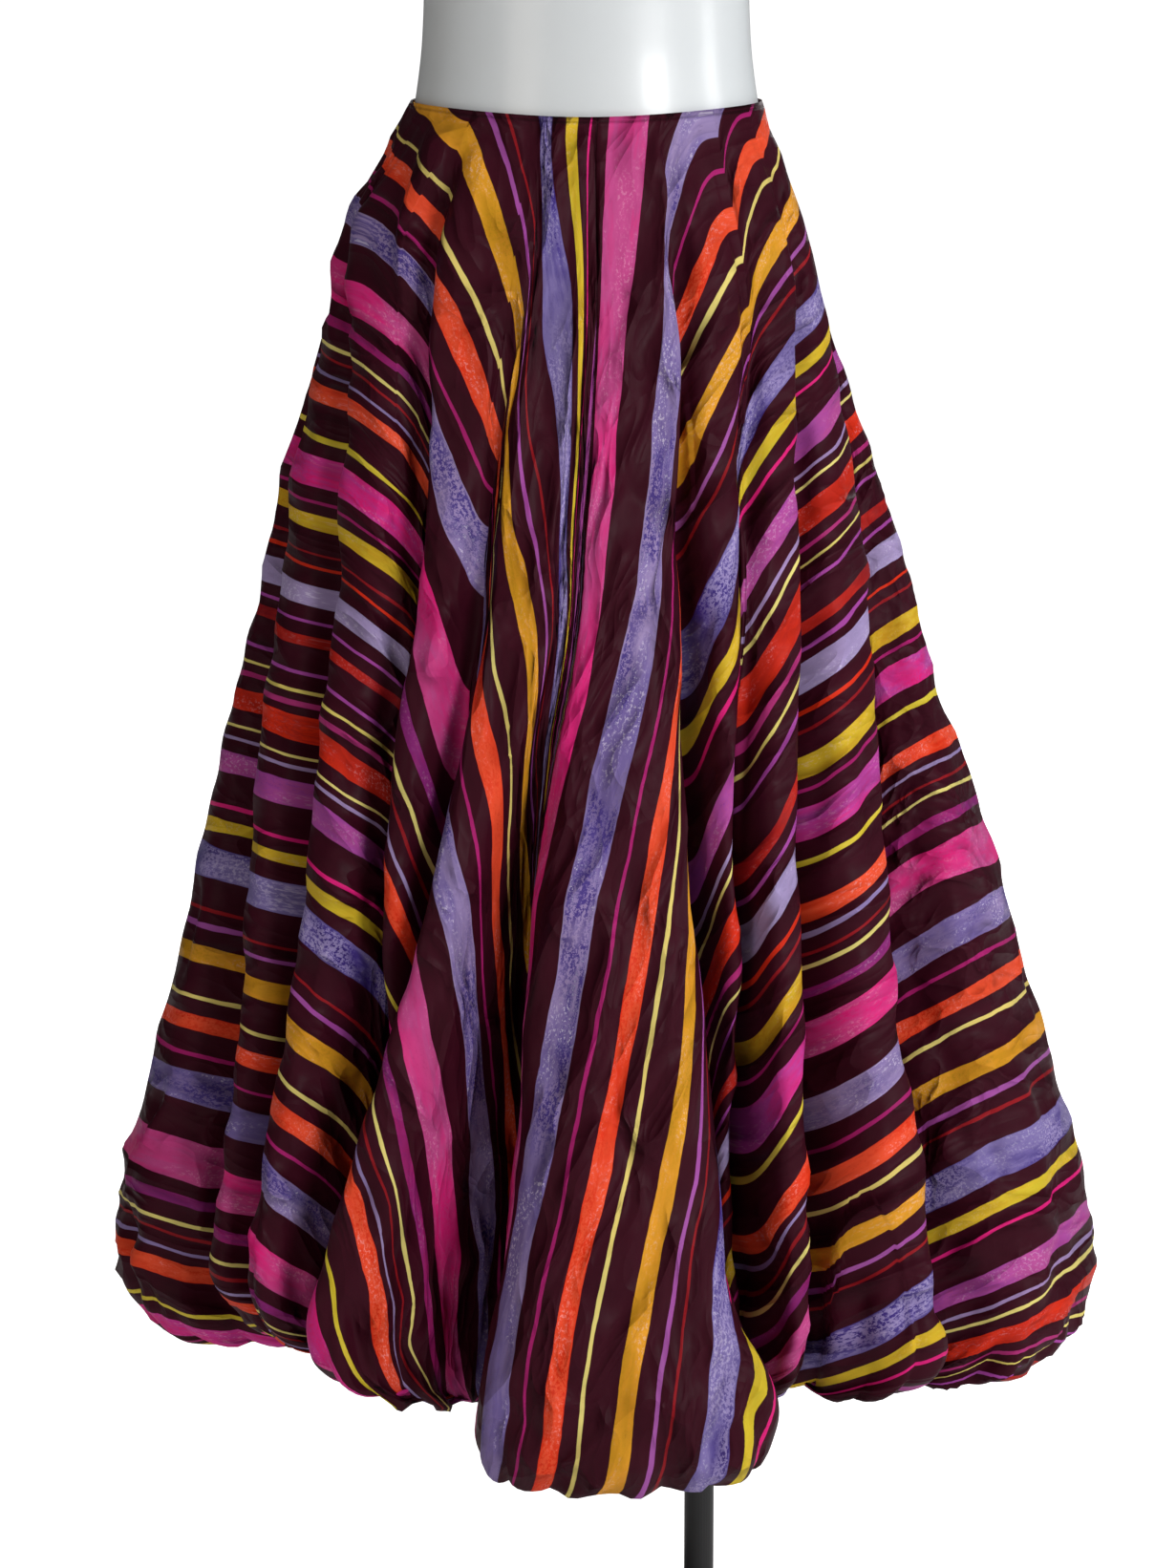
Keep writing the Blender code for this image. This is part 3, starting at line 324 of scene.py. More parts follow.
def panel_columns(start, end):
    """(flute, place or seam) lines of one panel from its start seam to its end seam."""
    lines = []
    base = ROWS[0]
    for i in range(-1, 2 * NV):
        f = flute_at(i, row_at(10.0))
        if f["fl1"] <= start + 1e-9 or f["fl0"] >= end - 1e-9:
            continue
        ws = places(i, columns_of(i))
        has_start, has_end = f["fl0"] < start - 1e-9, f["fl1"] > end + 1e-9
        if has_start or has_end:
            lo = 2.0 * (start - f["fl0"]) / (f["fl1"] - f["fl0"]) - 1.0 if has_start else -1.0
            hi = 2.0 * (end - f["fl0"]) / (f["fl1"] - f["fl0"]) - 1.0 if has_end else 1.0
            inside = ws[(ws > lo + 0.02) & (ws < hi - 0.02)]
            # share along the part of the flute that this panel has; extra lines close to the seam
            ts = [(w - lo) / (hi - lo) for w in inside]
            near = [0.0, 0.008, 0.018, 0.03]
            if has_start:
                ts = near + [t for t in ts if t > 0.04]
            else:
                ts = [t for t in ts if t < 0.96] if has_end else ts
                if ts and ts[0] > 1e-6:
                    ts = [0.0] + ts
            if has_end:
                ts = ts + [1.0 - t for t in reversed(near)]
            for t in ts:
                lines.append((i, "part", t, has_start, has_end))
        else:
            for w in ws[:-1]:
                lines.append((i, "place", float(w), False, False))
    return lines


def build_grid(start, end):
    """Fine points of a panel's outer face, with its flutes' numbers and places."""
    lines = panel_columns(start, end)
    rows_n = len(STEPS)
    pts = np.zeros((rows_n, len(lines), 3))
    place_of = np.zeros((rows_n, len(lines)))
    number = np.array([l[0] for l in lines])
    for r, u in enumerate(STEPS):
        row = row_at(u)
        for i in sorted(set(number.tolist())):
            f = flute_at(i, row)
            cols = np.nonzero(number == i)[0]
            ws = []
            for c in cols:
                _, kind, v, has_start, has_end = lines[c]
                if kind == "place":
                    ws.append(v)
                else:
                    lo = 2.0 * (start - f["fl0"]) / (f["fl1"] - f["fl0"]) - 1.0 if has_start else -1.0
                    hi = 2.0 * (end - f["fl0"]) / (f["fl1"] - f["fl0"]) - 1.0 if has_end else 1.0
                    ws.append(lo + (hi - lo) * v)
            ws = np.array(ws)
            pts[r, cols] = flute_points(f, ws)
            place_of[r, cols] = ws
    return pts, number, place_of


right_pts, right_num, right_w = build_grid(0.0, 180.0)
left_pts, left_num, left_w = build_grid(180.0, 360.0)


def move_return_in(pts, before, after, number):
    last = int(np.argmin(np.abs(STEPS - LAST_OUTER)))
    line = np.vstack([before[last][None], pts[last], after[last][None]])
    d = np.diff(line, axis=0)
    n = np.stack([d[:, 1], -d[:, 0], 0 * d[:, 0]], axis=1)
    n /= np.linalg.norm(n, axis=1)[:, None] + 1e-12
    mean = n[:-1] + n[1:]
    for _ in range(5):            # eased a little along the ring
        mean[1:-1] = 0.5 * mean[1:-1] + 0.25 * (mean[2:] + mean[:-2])
    mean /= np.linalg.norm(mean, axis=1)[:, None]
    wide = {i: (lambda f: f["az1"] - f["az0"])(flute_at(i, ROWS[-1])) for i in set(number.tolist())}
    own = np.clip((np.array([wide[i] for i in number]) - 4.0) / 8.0, 0.45, 1.0)[:, None]
    out = pts[last] * (1.0, 1.0, 0.0)
    out /= np.linalg.norm(out, axis=1)[:, None]
    mean = mean * own + out * (1.0 - own)
    for r, u in enumerate(STEPS):
        inside = row_at(u)[3]
        if inside > 0:
            pts[r] -= mean * (RETURN_OFF * inside)


ends = [(left_pts[:, -2].copy(), right_pts[:, 0].copy(), right_pts[:, -1].copy(), left_pts[:, 1].copy()),
        (right_pts[:, -2].copy(), left_pts[:, 0].copy(), left_pts[:, -1].copy(), right_pts[:, 1].copy())]
move_return_in(right_pts, ends[0][0], ends[0][3], right_num)
move_return_in(left_pts, ends[1][0], ends[1][3], left_num)


def arcs(pts):
    """Length along each row from the panel's start, and down each column from the waist."""
    across = np.zeros(pts.shape[:2])
    across[:, 1:] = np.cumsum(np.linalg.norm(np.diff(pts, axis=1), axis=2), axis=1)
    down = np.zeros(pts.shape[:2])
    down[1:] = np.cumsum(np.linalg.norm(np.diff(pts, axis=0), axis=2), axis=0)
    return across, down


def grid_normals(pts):
    du = np.gradient(pts, axis=0)
    dw = np.gradient(pts, axis=1)
    n = np.cross(dw, -du)
    return n / (np.linalg.norm(n, axis=2)[..., None] + 1e-12)


LEVELS = np.array([row_at(u)[0] for u in STEPS])
INSIDE = np.array([row_at(u)[3] for u in STEPS])

# ---------------------------------------------------------------- the cut's own coordinates
# Flat angle of the cloth in the valley at a flute's left and on its crest, at the flow levels.
FLOW_LEVELS = (0.0, 0.12, 0.30, 0.55, 0.90)
# name, valley, crest
FLOW = [
    ("centre_front", (-4.0, -5.0, -8.5, -16.5, -18.0), (9.5, 9.0, 7.0, 7.5, 9.0)),
    ("right_tuck", (23.5, 25.5, 27.5, 28.0, 27.0), (35.5, 34.5, 31.5, 30.5, 32.0)),
    ("right_1", (38.5, 38.5, 43.5, 39.5, 40.0), (52.0, 53.0, 49.0, 42.0, 42.5)),
    ("right_2", (55.0, 55.5, 55.0, 58.0, 60.5), (68.0, 65.5, 64.5, 61.0, 65.0)),
    ("right_3", (78.0, 74.0, 67.0, 67.0, 67.5), (92.5, 91.5, 90.0, 91.0, 84.0)),
    ("right_4", (104.0, 103.0, 101.5, 98.5, 95.0), (114.0, 113.5, 112.0, 110.5, 108.0)),
    ("back_a", (124.5, 124.0, 123.0, 122.0, 120.0), (135.0, 134.5, 134.0, 133.0, 132.0)),
    ("back_b", (146.0, 146.0, 145.5, 145.0, 144.0), (157.0, 157.0, 156.5, 156.5, 156.0)),
    ("back_c", (169.0, 169.0, 169.0, 168.5, 168.0), (181.0, 181.0, 181.0, 180.5, 180.5)),
    ("back_d", (193.0, 193.0, 193.0, 193.0, 193.0), (205.0, 205.0, 205.0, 205.0, 205.0)),
    ("back_e", (216.0, 216.0, 216.5, 217.0, 217.0), (227.0, 227.0, 228.0, 228.5, 229.5)),
    ("left_4", (237.0, 237.0, 238.0, 238.5, 239.5), (247.0, 247.0, 248.0, 248.5, 249.5)),
    ("left_3", (255.0, 254.5, 254.0, 253.5, 254.0), (262.0, 261.0, 259.0, 256.5, 263.5)),
    ("left_2", (271.0, 270.0, 268.5, 266.0, 269.0), (281.5, 277.0, 272.5, 268.5, 270.5)),
    ("left_1", (286.0, 282.0, 275.0, 270.5, 271.5), (295.0, 284.0, 276.0, 272.5, 278.0)),
    ("left_tuck", (300.0, 302.5, 295.5, 296.0, 301.0), (314.5, 317.0, 320.0, 322.0, 323.0)),
    ("centre_left", (330.0, 331.0, 324.0, 325.5, 326.0), (347.5, 344.5, 340.0, 334.5, 329.0)),
]


def flow_at(i, crest, level):
    turn, k = divmod(i, NV)
    return float(np.interp(level, FLOW_LEVELS, FLOW[k][2 if crest else 1])) + 360.0 * turn


def flat_angles(number, place_of, across, down, start, end):
    """Flat angle of every grid point: true to scale on the crests, the rest goes into the valleys."""
    out = np.zeros(across.shape)
    flutes = sorted(set(number.tolist()))
    for r in range(across.shape[0]):
        rho = FLAT_WAIST_R + down[r].mean()
        total = across[r, -1]
        anchors = [(0.0, start, False)]        # (arc, flat angle, is a crest)
        for i in flutes:
            cols = np.nonzero(number == i)[0]
            ws, arc = place_of[r, cols], across[r, cols]
            near = []
            if ws[0] <= -0.999:
                near.append((float(arc[0]), flow_at(i, False, LEVELS[r]), False))
            if ws[0] < 0.0 < ws[-1]:
                near.append((float(np.interp(0.0, ws, arc)), flow_at(i, True, LEVELS[r]), True))
            for at, angle, crest in near:
                if 0.004 < at < total - 0.004 and anchors[-1][1] + 0.3 < angle < end - 0.3:
                    anchors.append((at, angle, crest))
        anchors.append((float(total), end, False))
        for (s0, f0, c0), (s1, f1, c1) in zip(anchors, anchors[1:]):
            cols = (across[r] >= s0 - 1e-9) & (across[r] <= s1 + 1e-9)
            u = (across[r, cols] - s0) / max(1e-9, s1 - s0)
            m = (s1 - s0) / max(1e-6, math.radians(f1 - f0) * rho)
            if c0 and not c1:
                b = 1 - (1 - u) ** m if m >= 1 else m * u + (1 - m) * u ** 3
            elif c1 and not c0:
                q = 1 - u
                b = 1 - (1 - (1 - q) ** m if m >= 1 else m * q + (1 - m) * q ** 3)
            else:
                b = u
            out[r, cols] = f0 + (f1 - f0) * b
    # eased down the cloth, so that no row stands out
    for _ in range(3):
        out[1:-1] = 0.5 * out[1:-1] + 0.25 * (out[2:] + out[:-2])
    return out


GRAIN_LEFT, GRAIN_RIGHT = 8.5, 0.5     # how far each panel's stripes are turned from its front edge


def cut_coordinates(flat, down, left):
    """Metres across and along the stripes on the flat cloth."""
    rho = FLAT_WAIST_R + down
    if left:
        a = np.radians(flat - 360.0 + GRAIN_LEFT)
    else:
        a = np.radians(flat + GRAIN_RIGHT)
    return rho * np.sin(a), rho * np.cos(a)


# ---------------------------------------------------------------- creases
# Soft ridges and troughs across the big folds. A place counts the flutes, so 2.5 is the crest of
# right_1; a level is the share of the way down. In millimetres: how far the middle bows to +X,
# height (below zero a trough), reach to the left and to the right, and the cloth lost in it.
# place, level, place_2, level_2, bow, height, left, right, lost
CREASE_HEIGHT = 1.35
CREASES = [
    # centre front
    (0.53, 0.225, 0.63, 0.245, 0, -3.5, 8, 9, 0), (0.44, 0.275, 0.58, 0.305, 0, -4.0, 8, 9, 0),
    (16.55, 0.32, 16.57, 0.38, 0, 3.5, 6, 14, 5), (16.60, 0.42, 16.83, 0.54, -10, 3.5, 6, 13, 6),
    (0.42, 0.32, 0.41, 0.55, 2, -4.0, 17, 19, 0), (0.56, 0.29, 0.64, 0.35, 0, -3.5, 9, 12, 0),
    (0.47, 0.70, 0.43, 0.79, 0, 3.5, 15, 14, 0), (0.34, 0.685, 0.41, 0.70, 0, -2.5, 7, 7, 0),
    (0.64, 0.86, 0.75, 0.985, 0, 8.0, 15, 17, 10), (0.56, 0.965, 0.68, 0.925, 0, -5.0, 9, 10, 0),
    (0.55, 0.94, 0.59, 0.985, 0, 3.5, 7, 7, 0), (0.45, 0.990, 0.51, 0.945, 0, 4.5, 6, 10, 0),
    (0.50, 0.91, 0.51, 0.965, 0, -3.5, 10, 10, 0), (0.72, 0.83, 0.74, 0.93, 0, -4.5, 9, 10, 0),
    (0.62, 0.77, 0.63, 0.85, 0, -3.0, 12, 12, 0), (0.38, 0.81, 0.45, 0.88, 0, 3.0, 13, 15, 0),
    (0.34, 0.92, 0.44, 0.955, 0, -3.5, 12, 10, 0), (0.57, 0.55, 0.55, 0.65, 0, -3.0, 16, 16, 0),
    (0.50, 0.59, 0.51, 0.67, 0, 2.5, 14, 14, 0), (0.41, 0.60, 0.39, 0.68, 0, -2.5, 12, 12, 0),
    (16.96, 0.37, 17.28, 0.48, 0, 2.5, 14, 14, 0), (0.40, 0.012, 0.41, 0.055, 0, -2.0, 9, 9, 0),
    # right of the front
    (0.76, 0.12, 0.66, 0.33, 1, 5.0, 25, 5, 0), (1.48, 0.35, 1.41, 0.46, 0, 3.0, 8, 8, 0),
    (2.14, 0.13, 1.95, 0.27, -5, 4.5, 16, 5, 0), (1.98, 0.26, 2.18, 0.56, -2, 4.5, 20, 5, 0),
    (2.60, 0.09, 2.56, 0.35, -2, 4.5, 20, 5, 0), (0.86, 0.02, 0.66, 0.09, 0, 3.0, 16, 5, 0),
    (1.53, 0.05, 1.44, 0.11, 0, -3.0, 9, 9, 0), (1.66, 0.10, 1.51, 0.17, 0, 3.0, 12, 12, 0),
    (3.18, 0.23, 3.24, 0.34, 0, -4.0, 12, 12, 0), (3.37, 0.33, 3.39, 0.44, 0, 3.5, 14, 14, 4),
    (3.50, 0.47, 3.52, 0.58, 0, -3.5, 12, 12, 0), (3.31, 0.46, 3.28, 0.58, 0, -3.0, 14, 14, 0),
    (3.62, 0.73, 3.88, 0.985, 0, 13.0, 30, 6, 22), (3.33, 0.82, 3.20, 0.985, -6, 9.0, 16, 22, 20),
    (3.40, 0.84, 3.36, 0.985, 8, -7.0, 12, 12, 0), (3.31, 0.89, 3.26, 0.965, 0, -5.0, 9, 9, 0),
    (3.60, 0.92, 3.62, 0.992, 0, 5.5, 9, 9, 6), (4.22, 0.38, 4.23, 0.49, 0, -3.0, 14, 14, 0),
    (4.32, 0.53, 4.30, 0.63, 0, 3.5, 16, 16, 0), (4.45, 0.75, 4.36, 0.82, 0, 3.5, 14, 14, 0),
    (4.31, 0.75, 4.30, 0.84, 0, -4.0, 12, 12, 0), (4.52, 0.81, 4.36, 0.975, -8, -5.0, 16, 16, 0),
    (4.25, 0.84, 4.27, 0.975, 0, 4.0, 14, 14, 5), (4.50, 0.925, 4.42, 0.99, 0, -5.0, 12, 12, 0),
    (4.29, 0.94, 4.27, 0.995, 0, -5.0, 9, 9, 0), (4.36, 0.95, 4.34, 0.995, 0, 5.0, 10, 10, 4),
    (4.23, 0.765, 4.27, 0.82, 0, -3.5, 10, 10, 0), (4.60, 0.62, 4.56, 0.76, 0, -3.5, 15, 13, 0),
    # left of the front
    (12.74, 0.79, 12.74, 0.89, -6, 8.0, 6, 18, 18), (12.64, 0.77, 12.51, 0.87, 0, 4.5, 8, 8, 0),
    (12.59, 0.77, 12.53, 0.84, 0, -3.5, 7, 7, 0), (12.50, 0.88, 12.57, 0.96, 0, -8.0, 8, 9, 0),
    (12.61, 0.92, 12.62, 0.985, 0, -5.0, 8, 8, 0), (12.72, 0.90, 12.71, 0.985, 0, 4.5, 10, 8, 5),
    (13.55, 0.86, 13.57, 0.97, 0, 4.5, 10, 6, 5), (16.58, 0.90, 16.68, 0.95, 0, -4.5, 8, 8, 0),
    (16.49, 0.82, 16.62, 0.86, 0, -7.5, 9, 10, 0), (16.54, 0.79, 16.63, 0.88, 8, 5.5, 12, 12, 8),
    (16.65, 0.84, 16.74, 0.92, 0, -3.5, 12, 12, 0), (16.72, 0.90, 16.76, 0.975, 0, -4.5, 10, 10, 0),
    (16.60, 0.64, 16.63, 0.72, 0, -3.0, 12, 12, 0), (14.59, 0.84, 14.59, 0.92, 0, 3.5, 12, 12, 4),
    (13.65, 0.66, 13.65, 0.77, 0, 3.5, 14, 10, 0), (14.51, 0.62, 14.56, 0.73, 0, -3.5, 14, 14, 0),
    (12.55, 0.62, 12.55, 0.70, 0, -4.0, 9, 9, 0), (12.72, 0.82, 12.72, 0.91, 0, 3.0, 12, 12, 0),
    (14.55, 0.86, 14.60, 0.965, 0, -4.5, 9, 9, 0), (14.70, 0.90, 14.72, 0.985, 0, 4.5, 8, 9, 5),
    # pleats over the left hip
    (13.97, 0.03, 14.50, 0.19, -8, 6.5, 4, 20, 22), (14.46, 0.01, 14.77, 0.18, 4, 6.0, 4, 18, 16),
    (13.62, 0.03, 14.05, 0.17, 0, 5.5, 4, 16, 14), (13.30, 0.05, 13.66, 0.19, 0, 5.0, 4, 14, 11),
    (15.15, 0.03, 15.38, 0.26, -5, 7.0, 4, 24, 22), (15.87, 0.08, 16.32, 0.27, -8, 3.5, 12, 12, 0),
    (16.59, 0.012, 16.58, 0.11, 0, -2.0, 10, 10, 0), (13.71, 0.38, 13.71, 0.49, 0, 3.5, 14, 14, 0),
    (13.59, 0.43, 13.58, 0.55, 0, -3.5, 12, 12, 0), (14.56, 0.42, 14.59, 0.56, 0, -3.5, 12, 12, 0),
    (14.80, 0.36, 14.79, 0.48, 0, 3.5, 10, 14, 4), (15.84, 0.45, 16.30, 0.56, 0, -3.0, 10, 10, 0),
]
# the same kinds of crease round the hidden sides and the back: flutes moved on, level moved, height
for on, lower, share in ((3, 0.015, 0.9), (6, -0.02, 1.0), (8, 0.01, 0.85)):
    CREASES += [(a + on, b + lower, c + on, min(0.985, d + lower), bow, h * share, l, r, lost)
                for a, b, c, d, bow, h, l, r, lost in CREASES[22:50] if 2.0 <= a < 5.0 and b + lower > 0 and 4.9 < a + on < 12.0]
for on, lower in ((-3, 0.02), (-5, -0.015)):
    CREASES += [(a + on, max(0.01, b + lower), c + on, min(0.985, d + lower), bow, h, l, r, lost)
                for a, b, c, d, bow, h, l, r, lost in CREASES[50:80] if 12.4 <= a < 15.0 and 7.9 < a + on < 12.0]

# Gathers at the lowest line, one row each, in turn: millimetres to the next, depth, length up the
# outside, and how far its top leans aside
GATHERS = [
    (34, 3.2, 62, 4), (41, 4.4, 105, -8), (27, 2.2, 45, 0), (46, 4.8, 80, 9), (31, 2.8, 128, -4),
    (38, 4.0, 58, 6), (52, 5.0, 92, -10), (29, 2.4, 70, 3), (43, 4.2, 145, -6), (36, 3.4, 52, 8),
    (48, 4.6, 98, 0), (24, 2.0, 40, -3), (39, 3.8, 116, 5),
]
LOW = int(np.argmin(np.abs(STEPS - 12.75)))      # the row of the lowest line


def crease_fields(pts, normals, number, place_of):
    """Height and lost cloth at every grid point."""
    rows_n, cols_n = pts.shape[:2]
    height, lost = np.zeros((rows_n, cols_n)), np.zeros((rows_n, cols_n))
    outer = int(np.argmin(np.abs(STEPS - 12.9))) + 1
    where = number[None, :] + (place_of + 1.0) / 2.0
    first, last = where[0, 0], where[0, -1]
    for a, la, b, lb, bow, h, reach_l, reach_r, gone in CREASES:
        for turn in (-NV, 0, NV):
            if not (first - 0.3 < a + turn and b + turn < last + 0.3 and a + turn < last and b + turn > first):
                continue
            path = []
            for k in range(13):
                t = k / 12.0
                q = a + turn + (b - a) * t
                row = float(np.interp(la + (lb - la) * t, LEVELS[:outer], np.arange(outer)))
                r0 = min(int(row), outer - 2)
                col = float(np.interp(q, where[r0], np.arange(cols_n)))
                c0 = min(int(col), cols_n - 2)
                fr, fc = row - r0, col - c0
                p = ((pts[r0, c0] * (1 - fc) + pts[r0, c0 + 1] * fc) * (1 - fr)
                     + (pts[r0 + 1, c0] * (1 - fc) + pts[r0 + 1, c0 + 1] * fc) * fr)
                p = p + np.array([bow * 0.001 * math.sin(math.pi * t), 0.0, 0.0])
                path.append(p)
            path = np.array(path)
            reach = max(2.6 * max(reach_l, reach_r) * 0.001, 0.11 if gone else 0.0)
            lo, hi = path.min(0) - reach, path.max(0) + reach
            box = np.all((pts > lo) & (pts < hi), axis=2)
            box[outer + 6:] = False
            mid = where - (a + b) / 2.0 - turn
            box &= np.abs(mid) < 0.45 + abs(b - a) / 2.0
            rr, cc = np.nonzero(box)
            if not len(rr):
                continue
            p = pts[rr, cc]
            seg0, seg1 = path[:-1], path[1:]
            v = seg1 - seg0
            vv = (v * v).sum(1)
            t = np.clip(((p[:, None, :] - seg0[None]) * v[None]).sum(2) / vv[None], 0.0, 1.0)
            off = p[:, None, :] - (seg0[None] + v[None] * t[..., None])
            dd = (off ** 2).sum(2)
            k = dd.argmin(1)
            pick = np.arange(len(k))
            d = np.sqrt(dd[pick, k])
            along = (k + t[pick, k]) / len(v)
            down_first = 1.0 if path[0][2] > path[-1][2] else -1.0
            side = (np.cross(v[k] * down_first, off[pick, k]) * normals[rr, cc]).sum(1)
            sigma = np.where(side < 0, reach_l, reach_r) * 0.001
            taper = np.sin(np.pi * np.clip(along, 0, 1)) ** 0.8
            height[rr, cc] += CREASE_HEIGHT * h * 0.001 * taper * np.exp(-(d / sigma) ** 2)
            if gone:
                lost[rr, cc] += 0.0005 * gone * np.sign(side) * taper * np.exp(-d / 0.040) * (1 - np.exp(-(d / 0.004) ** 2))
    return height, lost


def gather_field(across, down, number):
    """Small gathers that the drawn-in edge makes round the lowest line."""
    arc = across[LOW]
    edges, k = [0.0], 0
    start = 3 if number[0] == 0 else 8
    while edges[-1] < arc[-1]:
        edges.append(edges[-1] + GATHERS[(start + k) % len(GATHERS)][0] * 0.001)
        k += 1
    edges = np.array(edges)
    rows = [GATHERS[(start + j) % len(GATHERS)] for j in range(len(edges))]
    depth = np.array([g[1] for g in rows]) * 0.001
    length = np.array([g[2] for g in rows]) * 0.001
    aside = np.array([g[3] for g in rows]) * 0.001
    order = np.arange(len(edges), dtype=float)
    above = np.maximum(0.0, down[LOW][None, :] - down)
    inside = np.maximum(0.0, down - down[LOW][None, :])
    at0 = np.broadcast_to(arc[None, :], across.shape)
    lean = np.interp(at0, edges, aside) * np.minimum(1.0, above / 0.08)
    phase = np.interp(at0 + lean, edges, order)
    dep, lon = np.interp(at0, edges, depth), np.interp(at0, edges, length)
    swell = 1.55 * np.abs(np.sin(np.pi * phase)) ** 0.75 - 1.0
    fade = np.exp(-(above / lon) ** 1.6) * (0.35 + 0.65 * np.exp(-inside / 0.05))
    return 1.45 * swell * dep * fade


def crumple_field(s, t, side):
    """Soft, irregular crushing of crisp cloth, and broad unevenness."""
    broad = np.zeros_like(s)
    for a, lx, ly, ph in ((0.9, 0.083, 0.31, 0.4), (0.7, 0.061, -0.22, 1.9), (0.6, 0.117, 0.54, 3.1), (0.45, 0.049, 0.19, 5.0)):
        broad += a * np.sin(2 * np.pi * (s / lx + t / ly) + ph + 3.0 * side)
    flat = np.stack([s * 17.0 + 5.0 * side, t * 9.5, np.zeros_like(s) + 2.7 * side], axis=-1).reshape(-1, 3)
    ridged = np.array([noise.ridged_multi_fractal(Vector(v), 0.9, 2.1, 2, 0.95, 1.6) for v in flat.tolist()])
    mask = np.array([noise.noise(Vector((v[0] * 0.28 + 9.1, v[1] * 0.35, v[2]))) for v in flat.tolist()])
    mask = np.clip(0.55 + 1.1 * mask, 0.12, 1.0)
    ridged = (ridged - ridged.mean()) / (ridged.std() + 1e-9)
    return 0.001 * (0.80 * broad + (1.45 * ridged * mask).reshape(s.shape))


def finish_cloth(pts, number, place_of, across, down, s, t, side):
    """Every small form of the cloth, moved along its own normals."""
    normals = grid_normals(pts)
    height, lost = crease_fields(pts, normals, number, place_of)
    to_seam = np.minimum(across, across[:, -1:] - across)
    free = ease(0.0, 0.016, to_seam) * ease(0.0, 0.03, down)
    near_hem = 1.0 + 1.1 * np.exp(-(np.maximum(0.0, down[LOW][None, :] - down) / 0.13) ** 1.5)
    height = (height + crumple_field(s, t, side) * near_hem) * free
    height += gather_field(across, down, number) * ease(0.0, 0.012, to_seam)
    # room to the form near the waist, and between the layers of the return
    height = np.maximum(height, -0.0045 - 0.02 * ease(0.10, 0.30, LEVELS)[:, None])
    inner = ease(0.2, 1.0, INSIDE)[:, None]
    height = height * (1 - inner) + np.clip(height, -0.0025, 0.004) * inner
    # the seam draws in a little, with small puckers beside it
    height -= 0.0011 * np.exp(-(to_seam / 0.0022) ** 2) * ease(0.0, 0.01, down)
    height += 0.0005 * np.sin(2 * np.pi * down / 0.017) * np.exp(-to_seam / 0.006) * (to_seam > 1e-5)
    return pts + normals * height[..., None], lost, normals


# ---------------------------------------------------------------- meshes
def cloth_object(name, pts, attributes):
    rows_n, cols_n = pts.shape[:2]
    me = bpy.data.meshes.new(name)
    idx = np.arange(rows_n * cols_n).reshape(rows_n, cols_n)
    quads = np.stack([idx[:-1, :-1], idx[1:, :-1], idx[1:, 1:], idx[:-1, 1:]], axis=-1).reshape(-1, 4)
    me.from_pydata(pts.reshape(-1, 3).tolist(), [], quads.tolist())
    me.shade_smooth()
    for key, value in attributes.items():
        a = me.attributes.new(key, "FLOAT_VECTOR", "POINT")
        a.data.foreach_set("vector", value.reshape(-1, 3).astype(np.float32).ravel())
    ob = bpy.data.objects.new(name, me)
    bpy.context.scene.collection.objects.link(ob)
    return ob


# the waist edge is turned in: distance down the inside, distance in from the outer face
TURNING = [(0.0100, 0.0014), (0.0050, 0.0013), (0.0008, 0.0010)]


def make_panel(name, pts, number, place_of, start, end, left):
    across, down = arcs(pts)
    flat = flat_angles(number, place_of, across, down, start, end)
    side = 1.0 if left else 0.0
    s, t = cut_coordinates(flat, down, left)
    moved, lost, normals = finish_cloth(pts, number, place_of, across, down, s, t, side)
    flat = flat + np.degrees(lost / (FLAT_WAIST_R + down))
    s, t = cut_coordinates(flat, down, left)
    to_seam = np.minimum(across, across[:, -1:] - across)
    cut = np.stack([s, t, np.zeros_like(s) + side], axis=-1)
    edge = np.stack([down, to_seam, across], axis=-1)
    # rows of the turned waist edge, on the inside
    rows, cuts, edges = [], [], []
    for below, behind in TURNING:
        k = float(np.interp(below, down[:, 0], np.arange(len(down))))
        r0 = int(k)
        p = moved[r0] * (1 - (k - r0)) + moved[r0 + 1] * (k - r0)
        rows.append(p - normals[1] * behind)
        cuts.append(cut[0] * 2 - (cut[r0] * (1 - (k - r0)) + cut[r0 + 1] * (k - r0)))
        edges.append(np.stack([np.zeros_like(s[0]) - below, to_seam[0], across[0]], axis=-1))
    for c in cuts:
        c[:, 2] = side
    pts = np.concatenate([np.array(rows), moved])
    return cloth_object(name, pts, {"cut": np.concatenate([np.array(cuts), cut]),
                                    "edge": np.concatenate([np.array(edges), edge])})


right = make_panel("skirt_right", right_pts, right_num, right_w, 0.0, 180.0, False)
left = make_panel("skirt_left", left_pts, left_num, left_w, 180.0, 360.0, True)


